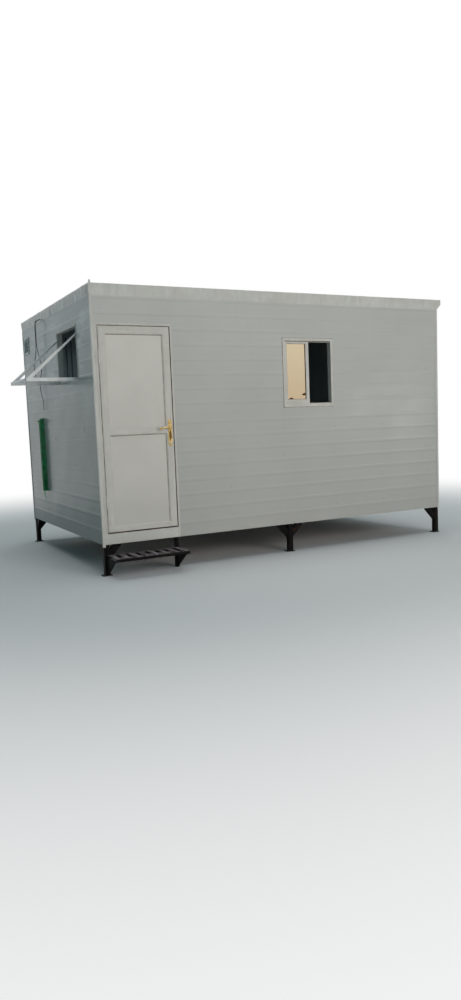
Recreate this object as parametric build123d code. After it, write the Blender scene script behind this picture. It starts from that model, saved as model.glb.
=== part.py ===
from build123d import *
import math
import os

# Portable site cabin: a steel base frame on short braced legs, insulated wall panels with a beaded
# white sheet outside, a flat roof behind edge flashings, one outward door, one sliding window, an
# opening with an angle-iron shelf for an air conditioner, a louvred vent and a slatted step.
# Millimetres, +Z up. The cabin is laid out from its near left ground corner: +X along the front,
# +Y towards the back. Every sub-part is then moved so that the origin is the middle of the base
# of the whole object.

# Hairline gap between pieces that seat on each other without touching
seat_gap = 0.3
# How far a cutting block runs past the face that it cuts
overcut = 1.0

# Overall sizes of the cabin body
length = 4440.0
width = 2966.0
wall_base = 320.0
overall_height = 2900.0

# Wall make-up
sheet = 8.0
core = 52.0
bead_pitch = 151.0
bead_width = 16.0
bead_height = 1.5
lower_bead_start = 140.0
upper_bead_start = 116.0
lap_height = 1601.0
lap_step = 1.5

# Base frame and floor
beam_height = 100.0
beam_flange = 50.0
beam_wall = 6.0
joist_count = 6
joist_width = 50.0
joist_height = 80.0
deck = 18.0

# Legs
post = 55.0
post_wall = 4.0
foot_plate = 100.0
foot_thickness = 8.0
brace_reach = 150.0
brace_drop = 160.0
brace_depth = 95.0
brace_thickness = 40.0

# Roof
roof_core = 60.0
rib_pitch = 200.0
rib_height = 28.0
rib_top = 30.0
rib_foot = 60.0
roof_skin = 3.0
roof_edge_gap = 1.0
fascia_height = 121.0
fascia_overhang = 6.0
end_overhang = 60.0
fascia_slant = 65.0
fascia_skin = 2.0
fascia_back = 50.0
fascia_lip = 20.0
fascia_seat = 44.0
corner_flap_height = 30.0
corner_flap_width = 30.0
corner_flap_taper = 8.0

# Corner trims
trim_leg = 25.0
trim_skin = 1.5
trim_drop = 25.0

# Door
door_left = 66.0
leaf_width = 755.0
leaf_base = 440.0
leaf_drop = 287.0
leaf_thickness = 36.0
running_gap = 5.0
jamb_width = 24.0
head_height = 25.0
stop_cover = 7.0
stile = 66.0
top_rail = 70.0
mid_rail = 58.0
bottom_rail = 46.0
mid_rail_below_lever = 50.0
panel_thickness = 20.0
panel_recess = 8.0
panel_bead = 9.0

# Hinges
hinge_axis_x = 61.0
hinge_axis_out = 9.0
knuckle_radius = 7.0
pin_radius = 3.5
pin_clearance = 0.1
hinge_height = 110.0
hinge_gap = 0.5
hinge_plate = 2.5
hinge_reach = 34.0
hinge_inset = 310.0
knuckle_room = 2.0

# Door handle: a long plate with arched ends and a sunk middle, a lever with a drooping tip, and a
# lock cylinder
plate_width = 46.0
plate_height = 280.0
plate_above_lever = 86.0
plate_thickness = 6.0
plate_rim = 4.0
plate_step = 2.0
plate_notch = 8.0
plate_arch = 42.0
plate_arch_radius = 46.0
sunk_top = 32.0
sunk_height = 96.0
sunk_width = 22.0
sunk_corner = 6.0
handle_x = 785.0
lever_height = 1470.0
lever_length = 118.0
lever_bend = 50.0
lever_droop = 30.0
lever_out = 46.0
lever_radius = 9.0
lever_flat_count = 12
lever_neck_bend = 18.0
lever_tip_bend = 60.0
button_rim = 2.0
button_length = 8.0
rose_radius = 17.0
rose_thickness = 7.0
spindle_radius = 5.0
spindle_clearance = 6.0
cylinder_drop = 158.0
cylinder_radius = 12.0
cylinder_out = 12.0

# Front window
window_left = 2193.0
window_width = 646.0
window_height = 737.0
window_drop = 389.0
frame_face = 28.0
frame_proud = 5.0
frame_lap = 12.0
sash_depth = 18.0
sash_gap = 2.0
sash_offset = 14.0
sash_past_middle = 12.0
sash_stile = 30.0
meeting_stile = 42.0
sash_bottom_rail = 54.0
outer_sash_track = 8.0
track_height = 10.0
glass = 5.0

# Opening and shelf for the air conditioner, on the left wall
ac_near = 521.0
ac_far = 1259.0
ac_height = 535.0
ac_drop = 221.0
ac_lining = 3.0
ac_flange = 14.0
shelf_reach = 540.0
shelf_angle = 35.0
shelf_skin = 4.0
tie_drop = 75.0
tie_width = 25.0
tie_thickness = 5.0

# Louvred vent, on the left wall
vent_size = 215.0
vent_drop = 97.0
vent_from_back = 111.0
vent_frame = 20.0
vent_proud = 9.0
blade_count = 4
blade_thickness = 4.0
blade_depth = 42.0
blade_tilt = 38.0

# Step below the door
step_left = 37.0
step_width = 776.0
step_depth = 309.0
step_top = 215.0
slat_count = 8
slat_width = 56.0
slat_thickness = 5.0
step_bar_width = 40.0
step_bar_height = 25.0
gusset_thickness = 10.0
gusset_reach = 215.0
gusset_base = 25.0
step_post = 40.0
step_post_wall = 4.0

# Electric leads hanging on the left wall, out of the slanted foot of the edge flashing. Their round
# section is drawn with flats, and each corner's arc takes a share of its shorter run.
lead_diameter = 8.0
lead_flat_count = 8
lead_arc_share = 0.45

# Green trunking on the left wall
trunk_near = 2113.0
trunk_width = 60.0
trunk_depth = 48.0
trunk_base = 740.0
trunk_height = 895.0
trunk_wall = 3.0
trunk_catch = 22.0
trunk_tab_reach = 70.0
trunk_tab_height = 34.0

# Places worked out from the sizes above
wall = sheet + core
wall_top = overall_height - fascia_height
core_base = wall_base + beam_height
floor_top = core_base + deck
core_top = wall_top - roof_core
leaf_right = door_left + leaf_width
leaf_top = wall_top - leaf_drop
mid_rail_base = lever_height - mid_rail_below_lever
jamb_left_face = door_left - running_gap
jamb_right_face = leaf_right + running_gap
doorway_right = jamb_right_face + jamb_width
head_base = leaf_top + running_gap
doorway_top = head_base + head_height
stop_front = leaf_thickness + running_gap
hinge_centres = (leaf_base + hinge_inset, leaf_top - hinge_inset)
plate_middle = lever_height + plate_above_lever - plate_height / 2
window_right = window_left + window_width
window_top = wall_top - window_drop
window_base = window_top - window_height
frame_inset = frame_face - frame_lap
track_fin = sash_gap - 2 * seat_gap
roof_edge = fascia_seat + roof_edge_gap
ac_top = wall_top - ac_drop
ac_base = ac_top - ac_height
shelf_top = ac_base + ac_lining
tie_height = ac_top - tie_drop
vent_base = wall_top - vent_drop - vent_size
vent_near = width - vent_from_back - vent_size
part_low_x = -shelf_reach
part_high_x = length + end_overhang
part_low_y = -step_depth
part_high_y = width + fascia_overhang
to_origin = Pos(-(part_low_x + part_high_x) / 2, -(part_low_y + part_high_y) / 2, 0)


def block(x0, x1, y0, y1, z0, z1):
    """A box between two opposite corners."""
    middle = Pos((x0 + x1) / 2, (y0 + y1) / 2, (z0 + z1) / 2)
    return middle * Box(x1 - x0, y1 - y0, z1 - z0)


def bar(points, plane, amount):
    """A closed outline drawn on a plane and carried along the plane's normal."""
    outline = make_face(plane * Polyline(*points, close=True))
    return extrude(outline, amount=amount, dir=plane.z_dir)


def on_side(side):
    """The place of a wall's own frame: X along the wall, Y inwards from its outer face."""
    places = {
        "front": Pos(0, 0, 0),
        "right": Pos(length, 0, 0) * Rot(0, 0, 90),
        "back": Pos(length, width, 0) * Rot(0, 0, 180),
        "left": Pos(0, width, 0) * Rot(0, 0, -90),
    }
    return places[side]


def angle_section(leg, skin):
    """The outline of an equal angle with its heel at the origin."""
    return [(0, 0), (leg, 0), (leg, skin), (skin, skin), (skin, leg), (0, leg)]


def write(name, *solids):
    """Moves a sub-part's solids to the object's origin and writes them as one STEP file."""
    moved = [to_origin * solid for solid in solids]
    shape = moved[0] if len(moved) == 1 else Compound(children=moved)
    export_step(shape, os.path.join("parts", name + ".step"))


# Base frame: channels with their webs outwards, and joists between the long ones

def channel(run):
    """A channel lying along +X with its web at Y = 0 and its flanges inwards."""
    points = [
        (0, 0),
        (beam_flange, 0),
        (beam_flange, beam_wall),
        (beam_wall, beam_wall),
        (beam_wall, beam_height - beam_wall),
        (beam_flange, beam_height - beam_wall),
        (beam_flange, beam_height),
        (0, beam_height),
    ]
    return bar(points, Plane.YZ, run)


def long_beams():
    """The front and back channels, full length behind the outer sheets."""
    run = length - 2 * sheet
    front = Pos(sheet, sheet, wall_base) * channel(run)
    back = on_side("back") * Pos(sheet, sheet, wall_base) * channel(run)
    return front, back


def end_beams():
    """The left and right channels, butted between the long ones."""
    inset = sheet + beam_flange
    run = width - 2 * inset
    left = on_side("left") * Pos(inset, sheet, wall_base) * channel(run)
    right = on_side("right") * Pos(inset, sheet, wall_base) * channel(run)
    return left, right


def floor_joists():
    """Joists across the cabin, hung between the webs of the long channels."""
    start = sheet + beam_flange
    bay = (length - 2 * start) / (joist_count + 1)
    top = core_base
    joists = []
    for number in range(joist_count):
        middle = start + bay * (number + 1)
        joists.append(block(
            middle - joist_width / 2, middle + joist_width / 2,
            start, width - start,
            top - joist_height, top,
        ))
    return joists


def floor_deck():
    """The floor board, inside the walls on the base frame."""
    return block(wall, length - wall, wall, width - wall, core_base, floor_top)


# Legs: square tube posts on foot plates, braced back to the base frame

def leg(along_left, along_right, inward):
    """One leg with its post's outer corner at the origin, standing on the ground."""
    margin = (foot_plate - post) / 2
    plate = block(-margin, post + margin, 0, post + margin, 0, foot_thickness)
    tube = block(0, post, 0, post, foot_thickness, wall_base)
    hollow = block(
        post_wall, post - post_wall, post_wall, post - post_wall, foot_thickness, wall_base,
    )
    body = plate + (tube - hollow)
    low = wall_base - brace_drop
    outline = [
        (0, low),
        (brace_reach, wall_base),
        (brace_reach - brace_depth, wall_base),
        (0, low + brace_depth),
    ]
    side_start = (post - brace_thickness) / 2
    if along_right:
        brace = bar(outline, Plane.XZ, -brace_thickness)
        body = body + Pos(post, side_start, 0) * brace
    if along_left:
        brace = mirror(bar(outline, Plane.XZ, -brace_thickness), about=Plane.YZ)
        body = body + Pos(0, side_start, 0) * brace
    if inward:
        brace = bar(outline, Plane.YZ, brace_thickness)
        body = body + Pos(side_start, post, 0) * brace
    return body


def front_legs():
    """Left, middle and right leg along the front, their posts in line with the channels' webs."""
    middle = (length - post) / 2
    left = Pos(sheet, sheet, 0) * leg(False, True, True)
    centre = Pos(middle, sheet, 0) * leg(True, True, True)
    right = Pos(length - sheet - post, sheet, 0) * leg(True, False, True)
    return left, centre, right


def back_legs():
    """The same three legs along the back, turned round."""
    return [on_side("back") * solid for solid in front_legs()]


# Step below the door: slats on two bars, carried by a gusset on the corner leg and one on a post

def step_bars():
    """The front and back bars under the slats."""
    top = step_top - slat_thickness
    low = top - step_bar_height
    right = step_left + step_width
    front = block(step_left, right, -step_depth, -step_depth + step_bar_width, low, top)
    back = block(step_left, right, -step_bar_width, 0, low, top)
    return front, back


def step_slats():
    """Flat slats from front to back with open gaps between them."""
    pitch = (step_width - slat_width) / (slat_count - 1)
    slats = []
    for number in range(slat_count):
        left = step_left + pitch * number
        slats.append(block(left, left + slat_width, -step_depth, 0, step_top - slat_thickness, step_top))
    return slats


def gusset():
    """A tapered plate under the step, deepest against its post."""
    top = step_top - slat_thickness - step_bar_height
    outline = [
        (sheet, gusset_base),
        (sheet, top),
        (-step_depth + step_bar_width / 2, top),
        (-gusset_reach, top - step_bar_height),
        (-step_post / 2, gusset_base),
    ]
    return bar(outline, Plane.YZ, gusset_thickness)


def step_brackets():
    """The left gusset stands against the corner leg, the right one against its own short post."""
    left = Pos(step_left, 0, 0) * gusset()
    plate_left = step_left + step_width - gusset_thickness
    tube = block(0, step_post, 0, step_post, 0, wall_base)
    hollow = block(
        step_post_wall, step_post - step_post_wall,
        step_post_wall, step_post - step_post_wall,
        step_post_wall, wall_base - step_post_wall,
    )
    right_post = Pos(plate_left + (gusset_thickness - step_post) / 2, sheet, 0) * (tube - hollow)
    return left, right_post + Pos(plate_left, 0, 0) * gusset()


# Walls: insulated cores behind the outer sheets

def front_wall():
    """The core from the door's right jamb to the right end, with the window cut through."""
    slab = block(doorway_right, length - wall, sheet, wall, core_base, core_top)
    hole = block(window_left, window_right, 0, wall + overcut, window_base, window_top)
    return slab - hole


def front_wall_over_door():
    """The core above the door head."""
    return block(wall, doorway_right, sheet, wall, doorway_top, core_top)


def ac_cut(grow):
    """The block that cuts the opening for the air conditioner, through its flange too."""
    return block(
        -ac_lining - overcut, wall + overcut,
        ac_near - grow, ac_far + grow,
        ac_base - grow, ac_top + grow,
    )


def vent_cut():
    """The block that cuts the hole behind the vent."""
    near = vent_near + vent_frame
    far = vent_near + vent_size - vent_frame
    low = vent_base + vent_frame
    high = vent_base + vent_size - vent_frame
    return block(-overcut, wall + overcut, near, far, low, high)


def left_wall():
    """The left core, with the opening for the air conditioner and the vent's hole."""
    slab = block(sheet, wall, wall, width - sheet, core_base, core_top)
    return slab - ac_cut(0) - vent_cut()


def right_wall():
    """The plain right core."""
    return block(length - wall, length - sheet, sheet, width - sheet, core_base, core_top)


def back_wall():
    """The plain back core, between the end walls."""
    return block(wall, length - wall, width - wall, width - sheet, core_base, core_top)


def bead_middles(first, sheet_top):
    """Heights of a sheet's raised beads, as many as fit below its top edge."""
    count = int((sheet_top - bead_width - first) // bead_pitch) + 1
    return [first + bead_pitch * number for number in range(count)]


def beaded_sheet(run):
    """The outer sheet of one wall: pressed beads, and the upper sheet lapping the lower one."""
    half = bead_width / 2
    lower_face = lap_step + bead_height
    points = [(lower_face, wall_base)]
    for middle in bead_middles(wall_base + lower_bead_start, lap_height):
        points.append((lower_face, middle - half))
        points.append((lap_step, middle))
        points.append((lower_face, middle + half))
    points.append((lower_face, lap_height))
    points.append((bead_height, lap_height))
    for middle in bead_middles(lap_height + upper_bead_start, wall_top):
        points.append((bead_height, middle - half))
        points.append((0, middle))
        points.append((bead_height, middle + half))
    points.append((bead_height, wall_top))
    points.append((sheet, wall_top))
    points.append((sheet, wall_base))
    return bar(points, Plane.YZ, run)


def front_cladding():
    """The front sheet, cut for the doorway and the window."""
    doorway = block(-overcut, doorway_right, -overcut, wall, wall_base - overcut, doorway_top)
    window = block(window_left, window_right, -overcut, wall, window_base, window_top)
    return beaded_sheet(length) - doorway - window


def left_cladding():
    """The left sheet, between the front and back ones, cut for the air conditioner and the vent."""
    panel = on_side("left") * Pos(sheet, 0, 0) * beaded_sheet(width - 2 * sheet)
    return panel - ac_cut(0) - vent_cut()


def right_cladding():
    """The right sheet, between the front and back ones."""
    return on_side("right") * Pos(sheet, 0, 0) * beaded_sheet(width - 2 * sheet)


def back_cladding():
    """The back sheet, full length."""
    return on_side("back") * beaded_sheet(length)


def corner_trims():
    """Bent angles over the four outer corners, longer than the sheets at the bottom."""
    run = wall_top - wall_base + trim_drop
    trim = Pos(-trim_skin, -trim_skin, wall_base - trim_drop) * bar(
        angle_section(trim_leg + trim_skin, trim_skin), Plane.XY, run,
    )
    front_left = trim
    front_right = on_side("right") * trim
    back_right = on_side("back") * trim
    back_left = on_side("left") * trim
    return front_left, front_right, back_right, back_left


# Roof: an insulated panel, a ribbed sheet and the flashings round its edge

def roof_panel():
    """The roof's core, resting on the walls inside the outer sheets."""
    return block(sheet, length - sheet, sheet, width - sheet, core_top, wall_top)


def roof_sheet():
    """Ribbed sheet with ribs from front to back, as one bent line with a skin's thickness."""
    run_x = length - 2 * roof_edge
    ribs = int(run_x // rib_pitch)
    margin = (run_x - ribs * rib_pitch) / 2
    lower = [(0, 0)]
    for number in range(ribs):
        middle = margin + rib_pitch * (number + 0.5)
        lower.append((middle - rib_foot / 2, 0))
        lower.append((middle - rib_top / 2, rib_height))
        lower.append((middle + rib_top / 2, rib_height))
        lower.append((middle + rib_foot / 2, 0))
    lower.append((run_x, 0))
    upper = [(x, z + roof_skin) for x, z in reversed(lower)]
    sheet_solid = bar(lower + upper, Plane.XZ, -(width - 2 * roof_edge))
    return Pos(roof_edge, roof_edge, wall_top) * sheet_solid


def fascia_section(overhang):
    """The side view of a flashing, from the wall's face: slanted foot, upright face, top and back."""
    return make_face(Plane.YZ * Polyline(
        (0, 0), (fascia_back, 0), (fascia_back, fascia_height),
        (-overhang, fascia_height), (-overhang, fascia_slant), close=True,
    ))


def fascia_front_view():
    """The front view of a long flashing, its ends slanted like the feet of the end flashings."""
    right = length + end_overhang
    return make_face(Plane.XZ * Polyline(
        (0, 0), (length, 0), (right, fascia_slant), (right, fascia_height),
        (-fascia_overhang, fascia_height), (-fascia_overhang, fascia_slant), close=True,
    ))


def fascia_mouth(low, high):
    """The open back of a flashing, below its lip and behind its seat on the wall."""
    back = fascia_back + overcut
    return block(low - overcut, high + overcut, fascia_seat, back, -overcut, fascia_height - fascia_lip)


def inset(face):
    """The same outline, a folded sheet's thickness further in."""
    return offset(face, amount=-fascia_skin, kind=Kind.INTERSECTION)


def long_fascia():
    """One long flashing, closed at both ends, with its near lower corner at the origin."""
    low = -fascia_overhang
    right = length + end_overhang
    depth = fascia_back + fascia_overhang
    section = fascia_section(fascia_overhang)
    view = fascia_front_view()
    along = Pos(low, 0, 0) * extrude(section, amount=right - low, dir=(1, 0, 0))
    across = Pos(0, low, 0) * extrude(view, amount=depth, dir=(0, 1, 0))
    inner_along = Pos(low, 0, 0) * extrude(inset(section), amount=right - low, dir=(1, 0, 0))
    inner_across = Pos(0, low, 0) * extrude(inset(view), amount=depth, dir=(0, 1, 0))
    return (along & across) - (inner_along & inner_across) - fascia_mouth(low, right)


def corner_flap():
    """The corner of the front flashing that was left folded upwards, at the near left."""
    foot = -fascia_overhang
    tip = fascia_height + corner_flap_height
    outline = [
        (foot, fascia_height - fascia_skin),
        (foot + corner_flap_width, fascia_height - fascia_skin),
        (foot + corner_flap_width - corner_flap_taper, tip),
        (foot + corner_flap_taper, tip),
    ]
    return Pos(0, -fascia_overhang, 0) * bar(outline, Plane.XZ, -fascia_skin)


def long_fascias():
    """The front and back flashings, running past both ends, furthest at the right."""
    front = Pos(0, 0, wall_top) * long_fascia()
    back = mirror(front, about=Plane.XZ.offset(-width / 2))
    return front + Pos(0, 0, wall_top) * corner_flap(), back


def end_fascia(overhang):
    """A flashing over one end wall, butted between the long ones."""
    start = fascia_back + seat_gap
    run = width - 2 * start
    outer = extrude(fascia_section(overhang), amount=run, dir=(1, 0, 0))
    inner = extrude(inset(fascia_section(overhang)), amount=run, dir=(1, 0, 0))
    return Pos(start, 0, wall_top) * (outer - inner - fascia_mouth(0, run))


def end_fascias():
    """The left flashing, close to its wall, and the right one, which stands out from its wall."""
    return on_side("left") * end_fascia(fascia_overhang), on_side("right") * end_fascia(end_overhang)


# Door: frame, stops, threshold and the hinged leaf

def door_frame():
    """The corner post, the right jamb and the head."""
    top = doorway_top
    post_left = block(sheet, jamb_left_face, 0, wall, core_base, top)
    top_post = block(sheet, wall, sheet, wall, top, core_top)
    jamb_right = block(jamb_right_face, doorway_right, 0, wall, core_base, top)
    jamb_foot = block(jamb_right_face, doorway_right, 0, sheet, wall_base, core_base)
    head = block(
        jamb_left_face + seat_gap, jamb_right_face - seat_gap, 0, wall, head_base, top,
    )
    return post_left + top_post, jamb_right + jamb_foot, head


def door_stops():
    """Strips behind the leaf on both jambs and the head."""
    left_edge = jamb_left_face + running_gap + stop_cover
    right_edge = jamb_right_face - running_gap - stop_cover
    low_edge = head_base - running_gap - stop_cover
    left = block(jamb_left_face, left_edge, stop_front, wall, leaf_base, head_base)
    right = block(right_edge, jamb_right_face, stop_front, wall, leaf_base, head_base)
    top = block(
        left_edge + seat_gap, right_edge - seat_gap, stop_front, wall, low_edge, head_base,
    )
    return left, right, top


def door_threshold():
    """The sill under the leaf, with the plain apron down to the foot of the wall."""
    sill_top = leaf_base - running_gap
    sill = block(jamb_left_face, jamb_right_face, 0, wall, core_base, sill_top)
    apron = block(0, jamb_right_face, 0, sheet, wall_base, core_base)
    return sill + apron


def door_leaf():
    """The leaf's frame of stiles and rails, rebated for its two panels."""
    leaf = block(door_left, leaf_right, 0, leaf_thickness, leaf_base, leaf_top)
    for low, high in (panel_span(False), panel_span(True)):
        light = block(
            door_left + stile, leaf_right - stile, -overcut, leaf_thickness + overcut, low, high,
        )
        rebate = block(
            door_left + stile - panel_bead, leaf_right - stile + panel_bead,
            panel_recess, panel_recess + panel_thickness,
            low - panel_bead, high + panel_bead,
        )
        leaf = leaf - light - rebate
    bore = Pos(handle_x, leaf_thickness / 2, lever_height) * Rot(90, 0, 0) * Cylinder(
        spindle_radius + spindle_clearance, 2 * leaf_thickness,
    )
    return leaf - bore


def panel_span(upper):
    """Lowest and highest visible height of a door panel."""
    if upper:
        return mid_rail_base + mid_rail, leaf_top - top_rail
    return leaf_base + bottom_rail, mid_rail_base


def door_panel(upper):
    """A flat panel held in the leaf's rebate."""
    low, high = panel_span(upper)
    tongue = panel_bead - seat_gap
    return block(
        door_left + stile - tongue, leaf_right - stile + tongue,
        panel_recess + seat_gap, panel_recess + panel_thickness - seat_gap,
        low - tongue, high + tongue,
    )


def knuckle(z0, z1, radius):
    """A length of hinge barrel on the door's axis."""
    return Pos(hinge_axis_x, -hinge_axis_out, (z0 + z1) / 2) * Cylinder(radius, z1 - z0)


def hinge_frame_halves():
    """On each hinge the top and bottom knuckles, the pin and the plate on the post."""
    halves = []
    for middle in hinge_centres:
        low = middle - hinge_height / 2
        high = middle + hinge_height / 2
        third = hinge_height / 3
        pin = knuckle(low, high, pin_radius)
        barrel = knuckle(low, low + third, knuckle_radius) + knuckle(high - third, high, knuckle_radius)
        plate = block(
            hinge_axis_x - hinge_reach, hinge_axis_x - 2 * hinge_gap,
            -trim_skin - hinge_plate, 0, low, high,
        )
        room = block(
            hinge_axis_x - knuckle_radius - knuckle_room, hinge_axis_x + hinge_reach,
            -hinge_axis_out - knuckle_radius - overcut, 0, low + third, high - third,
        )
        trim = block(0, trim_leg, -trim_skin, 0, low - overcut, high + overcut)
        halves.append(pin + barrel + (plate - room - trim))
    return halves


def hinge_door_halves():
    """On each hinge the middle knuckle, bored for the pin, and the plate on the leaf."""
    halves = []
    for middle in hinge_centres:
        half = hinge_height / 6 - hinge_gap
        low = middle - half
        high = middle + half
        barrel = knuckle(low, high, knuckle_radius)
        plate = block(
            door_left + 2 * hinge_gap, hinge_axis_x + hinge_reach, -hinge_plate, 0,
            middle - hinge_height / 2, middle + hinge_height / 2,
        )
        neck = block(
            hinge_axis_x, hinge_axis_x + knuckle_radius, -hinge_axis_out, 0, low, high,
        )
        bore = knuckle(low - overcut, high + overcut, pin_radius + pin_clearance)
        room = knuckle(low - hinge_height, low, knuckle_radius + 2 * hinge_gap)
        room = room + knuckle(high, high + hinge_height, knuckle_radius + 2 * hinge_gap)
        halves.append(barrel + plate + neck - bore - room)
    return halves


def plate_outline():
    """Straight sides, and at each end a small hollow shoulder under an arch."""
    half = plate_width / 2
    top = plate_height / 2
    shoulder = top - plate_arch
    foot = (half - plate_notch, shoulder + plate_notch)
    side = Line((half, -shoulder), (half, shoulder))
    notch = RadiusArc((half, shoulder), foot, plate_notch)
    arch = RadiusArc(foot, (0, top), -plate_arch_radius)
    right = Curve() + [side, notch, arch, mirror(notch, about=Plane.XZ), mirror(arch, about=Plane.XZ)]
    return make_face(right + mirror(right, about=Plane.YZ))


def handle_plate():
    """The plate with its back at Y = 0 and its front outwards, bored for the lever's spindle."""
    base = plate_thickness - plate_step
    outline = plate_outline()
    raised = offset(outline, amount=-plate_rim)
    plate = extrude(Plane.XZ * outline, amount=base, dir=(0, -1, 0))
    plate = plate + extrude(Plane.XZ * raised, amount=plate_thickness, dir=(0, -1, 0))
    lever_place = lever_height - plate_middle
    sunk_middle = lever_place - sunk_top - sunk_height / 2
    sunk = Plane.XZ.offset(base) * Pos(0, sunk_middle) * RectangleRounded(
        sunk_width, sunk_height, sunk_corner,
    )
    plate = plate - extrude(sunk, amount=plate_thickness, dir=(0, -1, 0))
    bore = Pos(0, -plate_thickness / 2, lever_place) * Rot(90, 0, 0)
    plate = plate - bore * Cylinder(spindle_radius + spindle_clearance, 3 * plate_thickness)
    lock = Pos(0, -plate_thickness - cylinder_out / 2, lever_place - cylinder_drop) * Rot(90, 0, 0)
    return plate + lock * Cylinder(cylinder_radius, cylinder_out)


def handle_plates():
    """The outside plate and the same plate inside."""
    outside = Pos(handle_x, 0, plate_middle) * handle_plate()
    inside = Pos(handle_x, leaf_thickness, plate_middle) * mirror(handle_plate(), about=Plane.XZ)
    return outside, inside


def lever_arm():
    """A rose, a grip that bends sideways and droops, and the button on its tip."""
    rose_start = plate_thickness + seat_gap
    rose_place = Pos(0, -rose_start - rose_thickness / 2, 0) * Rot(90, 0, 0)
    rose = rose_place * Cylinder(rose_radius, rose_thickness)
    path = FilletPolyline(
        (0, -rose_start, 0), (0, -lever_out, 0),
        (-lever_bend, -lever_out, 0), (-lever_length, -lever_out, -lever_droop),
        radius=[lever_neck_bend, lever_tip_bend],
    )
    start = Plane(origin=(0, -rose_start, 0), z_dir=(0, -1, 0))
    grip = sweep(start * RegularPolygon(lever_radius, lever_flat_count), path=path)
    tip = Plane(origin=path @ 1, z_dir=path % 1)
    return rose + grip + tip * Cylinder(lever_radius + button_rim, button_length)


def door_lever():
    """Both grips on one spindle through the leaf."""
    outside = Pos(handle_x, 0, lever_height) * lever_arm()
    inside = Pos(handle_x, leaf_thickness, lever_height) * mirror(lever_arm(), about=Plane.XZ)
    reach = plate_thickness + rose_thickness
    spindle = Pos(handle_x, leaf_thickness / 2, lever_height) * Rot(90, 0, 0) * Cylinder(
        spindle_radius, leaf_thickness + 2 * reach,
    )
    return outside + inside + spindle


# Window: outer frame, two sashes slid to the left half, and their glass

def track_fins():
    """Thin fins along the sill and head, in front of, between and behind the sashes' tracks."""
    step = sash_depth + sash_gap
    first = outer_sash_track - seat_gap - track_fin
    sill = window_base + frame_inset
    head = window_top - frame_inset
    fins = []
    for number in range(3):
        front = first + step * number
        for low in (sill, head - track_height):
            fins.append(block(
                window_left + frame_inset, window_right - frame_inset,
                front, front + track_fin, low, low + track_height,
            ))
    return fins


def window_frame():
    """The frame lining the hole, with a flange over the outer sheet and the sashes' tracks."""
    lining = block(window_left, window_right, 0, wall, window_base, window_top)
    flange = block(
        window_left - frame_lap, window_right + frame_lap,
        -frame_proud, 0,
        window_base - frame_lap, window_top + frame_lap,
    )
    light = block(
        window_left + frame_inset, window_right - frame_inset,
        -frame_proud - overcut, wall + overcut,
        window_base + frame_inset, window_top - frame_inset,
    )
    frame = lining + flange - light
    for fin in track_fins():
        frame = frame + fin
    return frame


def sash_place(inner):
    """Left, right and front of a sash in its own track, slid to the left half of the window."""
    left = window_left + frame_inset + seat_gap
    right = (window_left + window_right) / 2 + sash_past_middle
    front = outer_sash_track
    if inner:
        front = front + sash_depth + sash_gap
        left = left + sash_offset
        right = right + sash_offset
    return left, right, front


def sash_heights():
    """Bottom and top of both sashes inside the frame."""
    low = window_base + frame_inset + seat_gap
    high = window_top - frame_inset - seat_gap
    return low, high


def window_sash(inner):
    """One sash: four bars round a grooved light."""
    left, right, front = sash_place(inner)
    low, high = sash_heights()
    solid = block(left, right, front, front + sash_depth, low, high)
    light = block(
        left + sash_stile, right - meeting_stile, front - overcut, front + sash_depth + overcut,
        low + sash_bottom_rail, high - sash_stile,
    )
    middle = front + sash_depth / 2
    groove = block(
        left + sash_stile - panel_bead, right - meeting_stile + panel_bead,
        middle - glass / 2 - seat_gap, middle + glass / 2 + seat_gap,
        low + sash_bottom_rail - panel_bead, high - sash_stile + panel_bead,
    )
    return solid - light - groove


def window_glass():
    """The two panes in their sashes."""
    panes = []
    low, high = sash_heights()
    tongue = panel_bead - seat_gap
    for inner in (False, True):
        left, right, front = sash_place(inner)
        middle = front + sash_depth / 2
        panes.append(block(
            left + sash_stile - tongue, right - meeting_stile + tongue,
            middle - glass / 2, middle + glass / 2,
            low + sash_bottom_rail - tongue, high - sash_stile + tongue,
        ))
    return panes


# Left wall: opening for the air conditioner with its shelf, the vent, the leads and the trunking

def ac_opening_frame():
    """A thin lining through the wall with a narrow flange outside."""
    lining = block(-ac_lining, wall, ac_near, ac_far, ac_base, ac_top)
    flange = block(
        -ac_lining, 0,
        ac_near - ac_flange, ac_far + ac_flange,
        ac_base - ac_flange, ac_top + ac_flange,
    )
    return lining + flange - ac_cut(-ac_lining)


def shelf_section():
    """An angle with its upright leg outside and its flat leg on top, pointing inwards."""
    low = shelf_angle - shelf_skin
    return [
        (0, 0), (shelf_skin, 0), (shelf_skin, low),
        (shelf_angle, low), (shelf_angle, shelf_angle), (0, shelf_angle),
    ]


def ac_shelf_rails():
    """Two angles standing out from the foot of the opening, their tops level with its lining."""
    run = shelf_reach - ac_lining
    near = Pos(-shelf_reach, ac_near, shelf_top - shelf_angle) * bar(shelf_section(), Plane.YZ, run)
    far = mirror(near, about=Plane.XZ.offset(-(ac_near + ac_far) / 2))
    return near, far


def ac_shelf_front_bar():
    """The angle between the outer ends of the rails."""
    inset = shelf_angle + seat_gap
    run = ac_far - ac_near - 2 * inset
    start = Pos(-shelf_reach, ac_far - inset, shelf_top - shelf_angle)
    return start * bar(shelf_section(), Plane.XZ, run)


def ac_shelf_ties():
    """Flat ties from the rails' outer ends up to the wall beside the opening."""
    low = shelf_top - shelf_angle
    outline = [
        (-shelf_reach, low),
        (-shelf_reach + tie_width, low),
        (-ac_lining, tie_height - tie_width),
        (-ac_lining, tie_height),
        (-shelf_reach, low + tie_width),
    ]
    near = Pos(0, ac_near, 0) * bar(outline, Plane.XZ, tie_thickness)
    far = Pos(0, ac_far, 0) * bar(outline, Plane.XZ, -tie_thickness)
    return near, far


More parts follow.
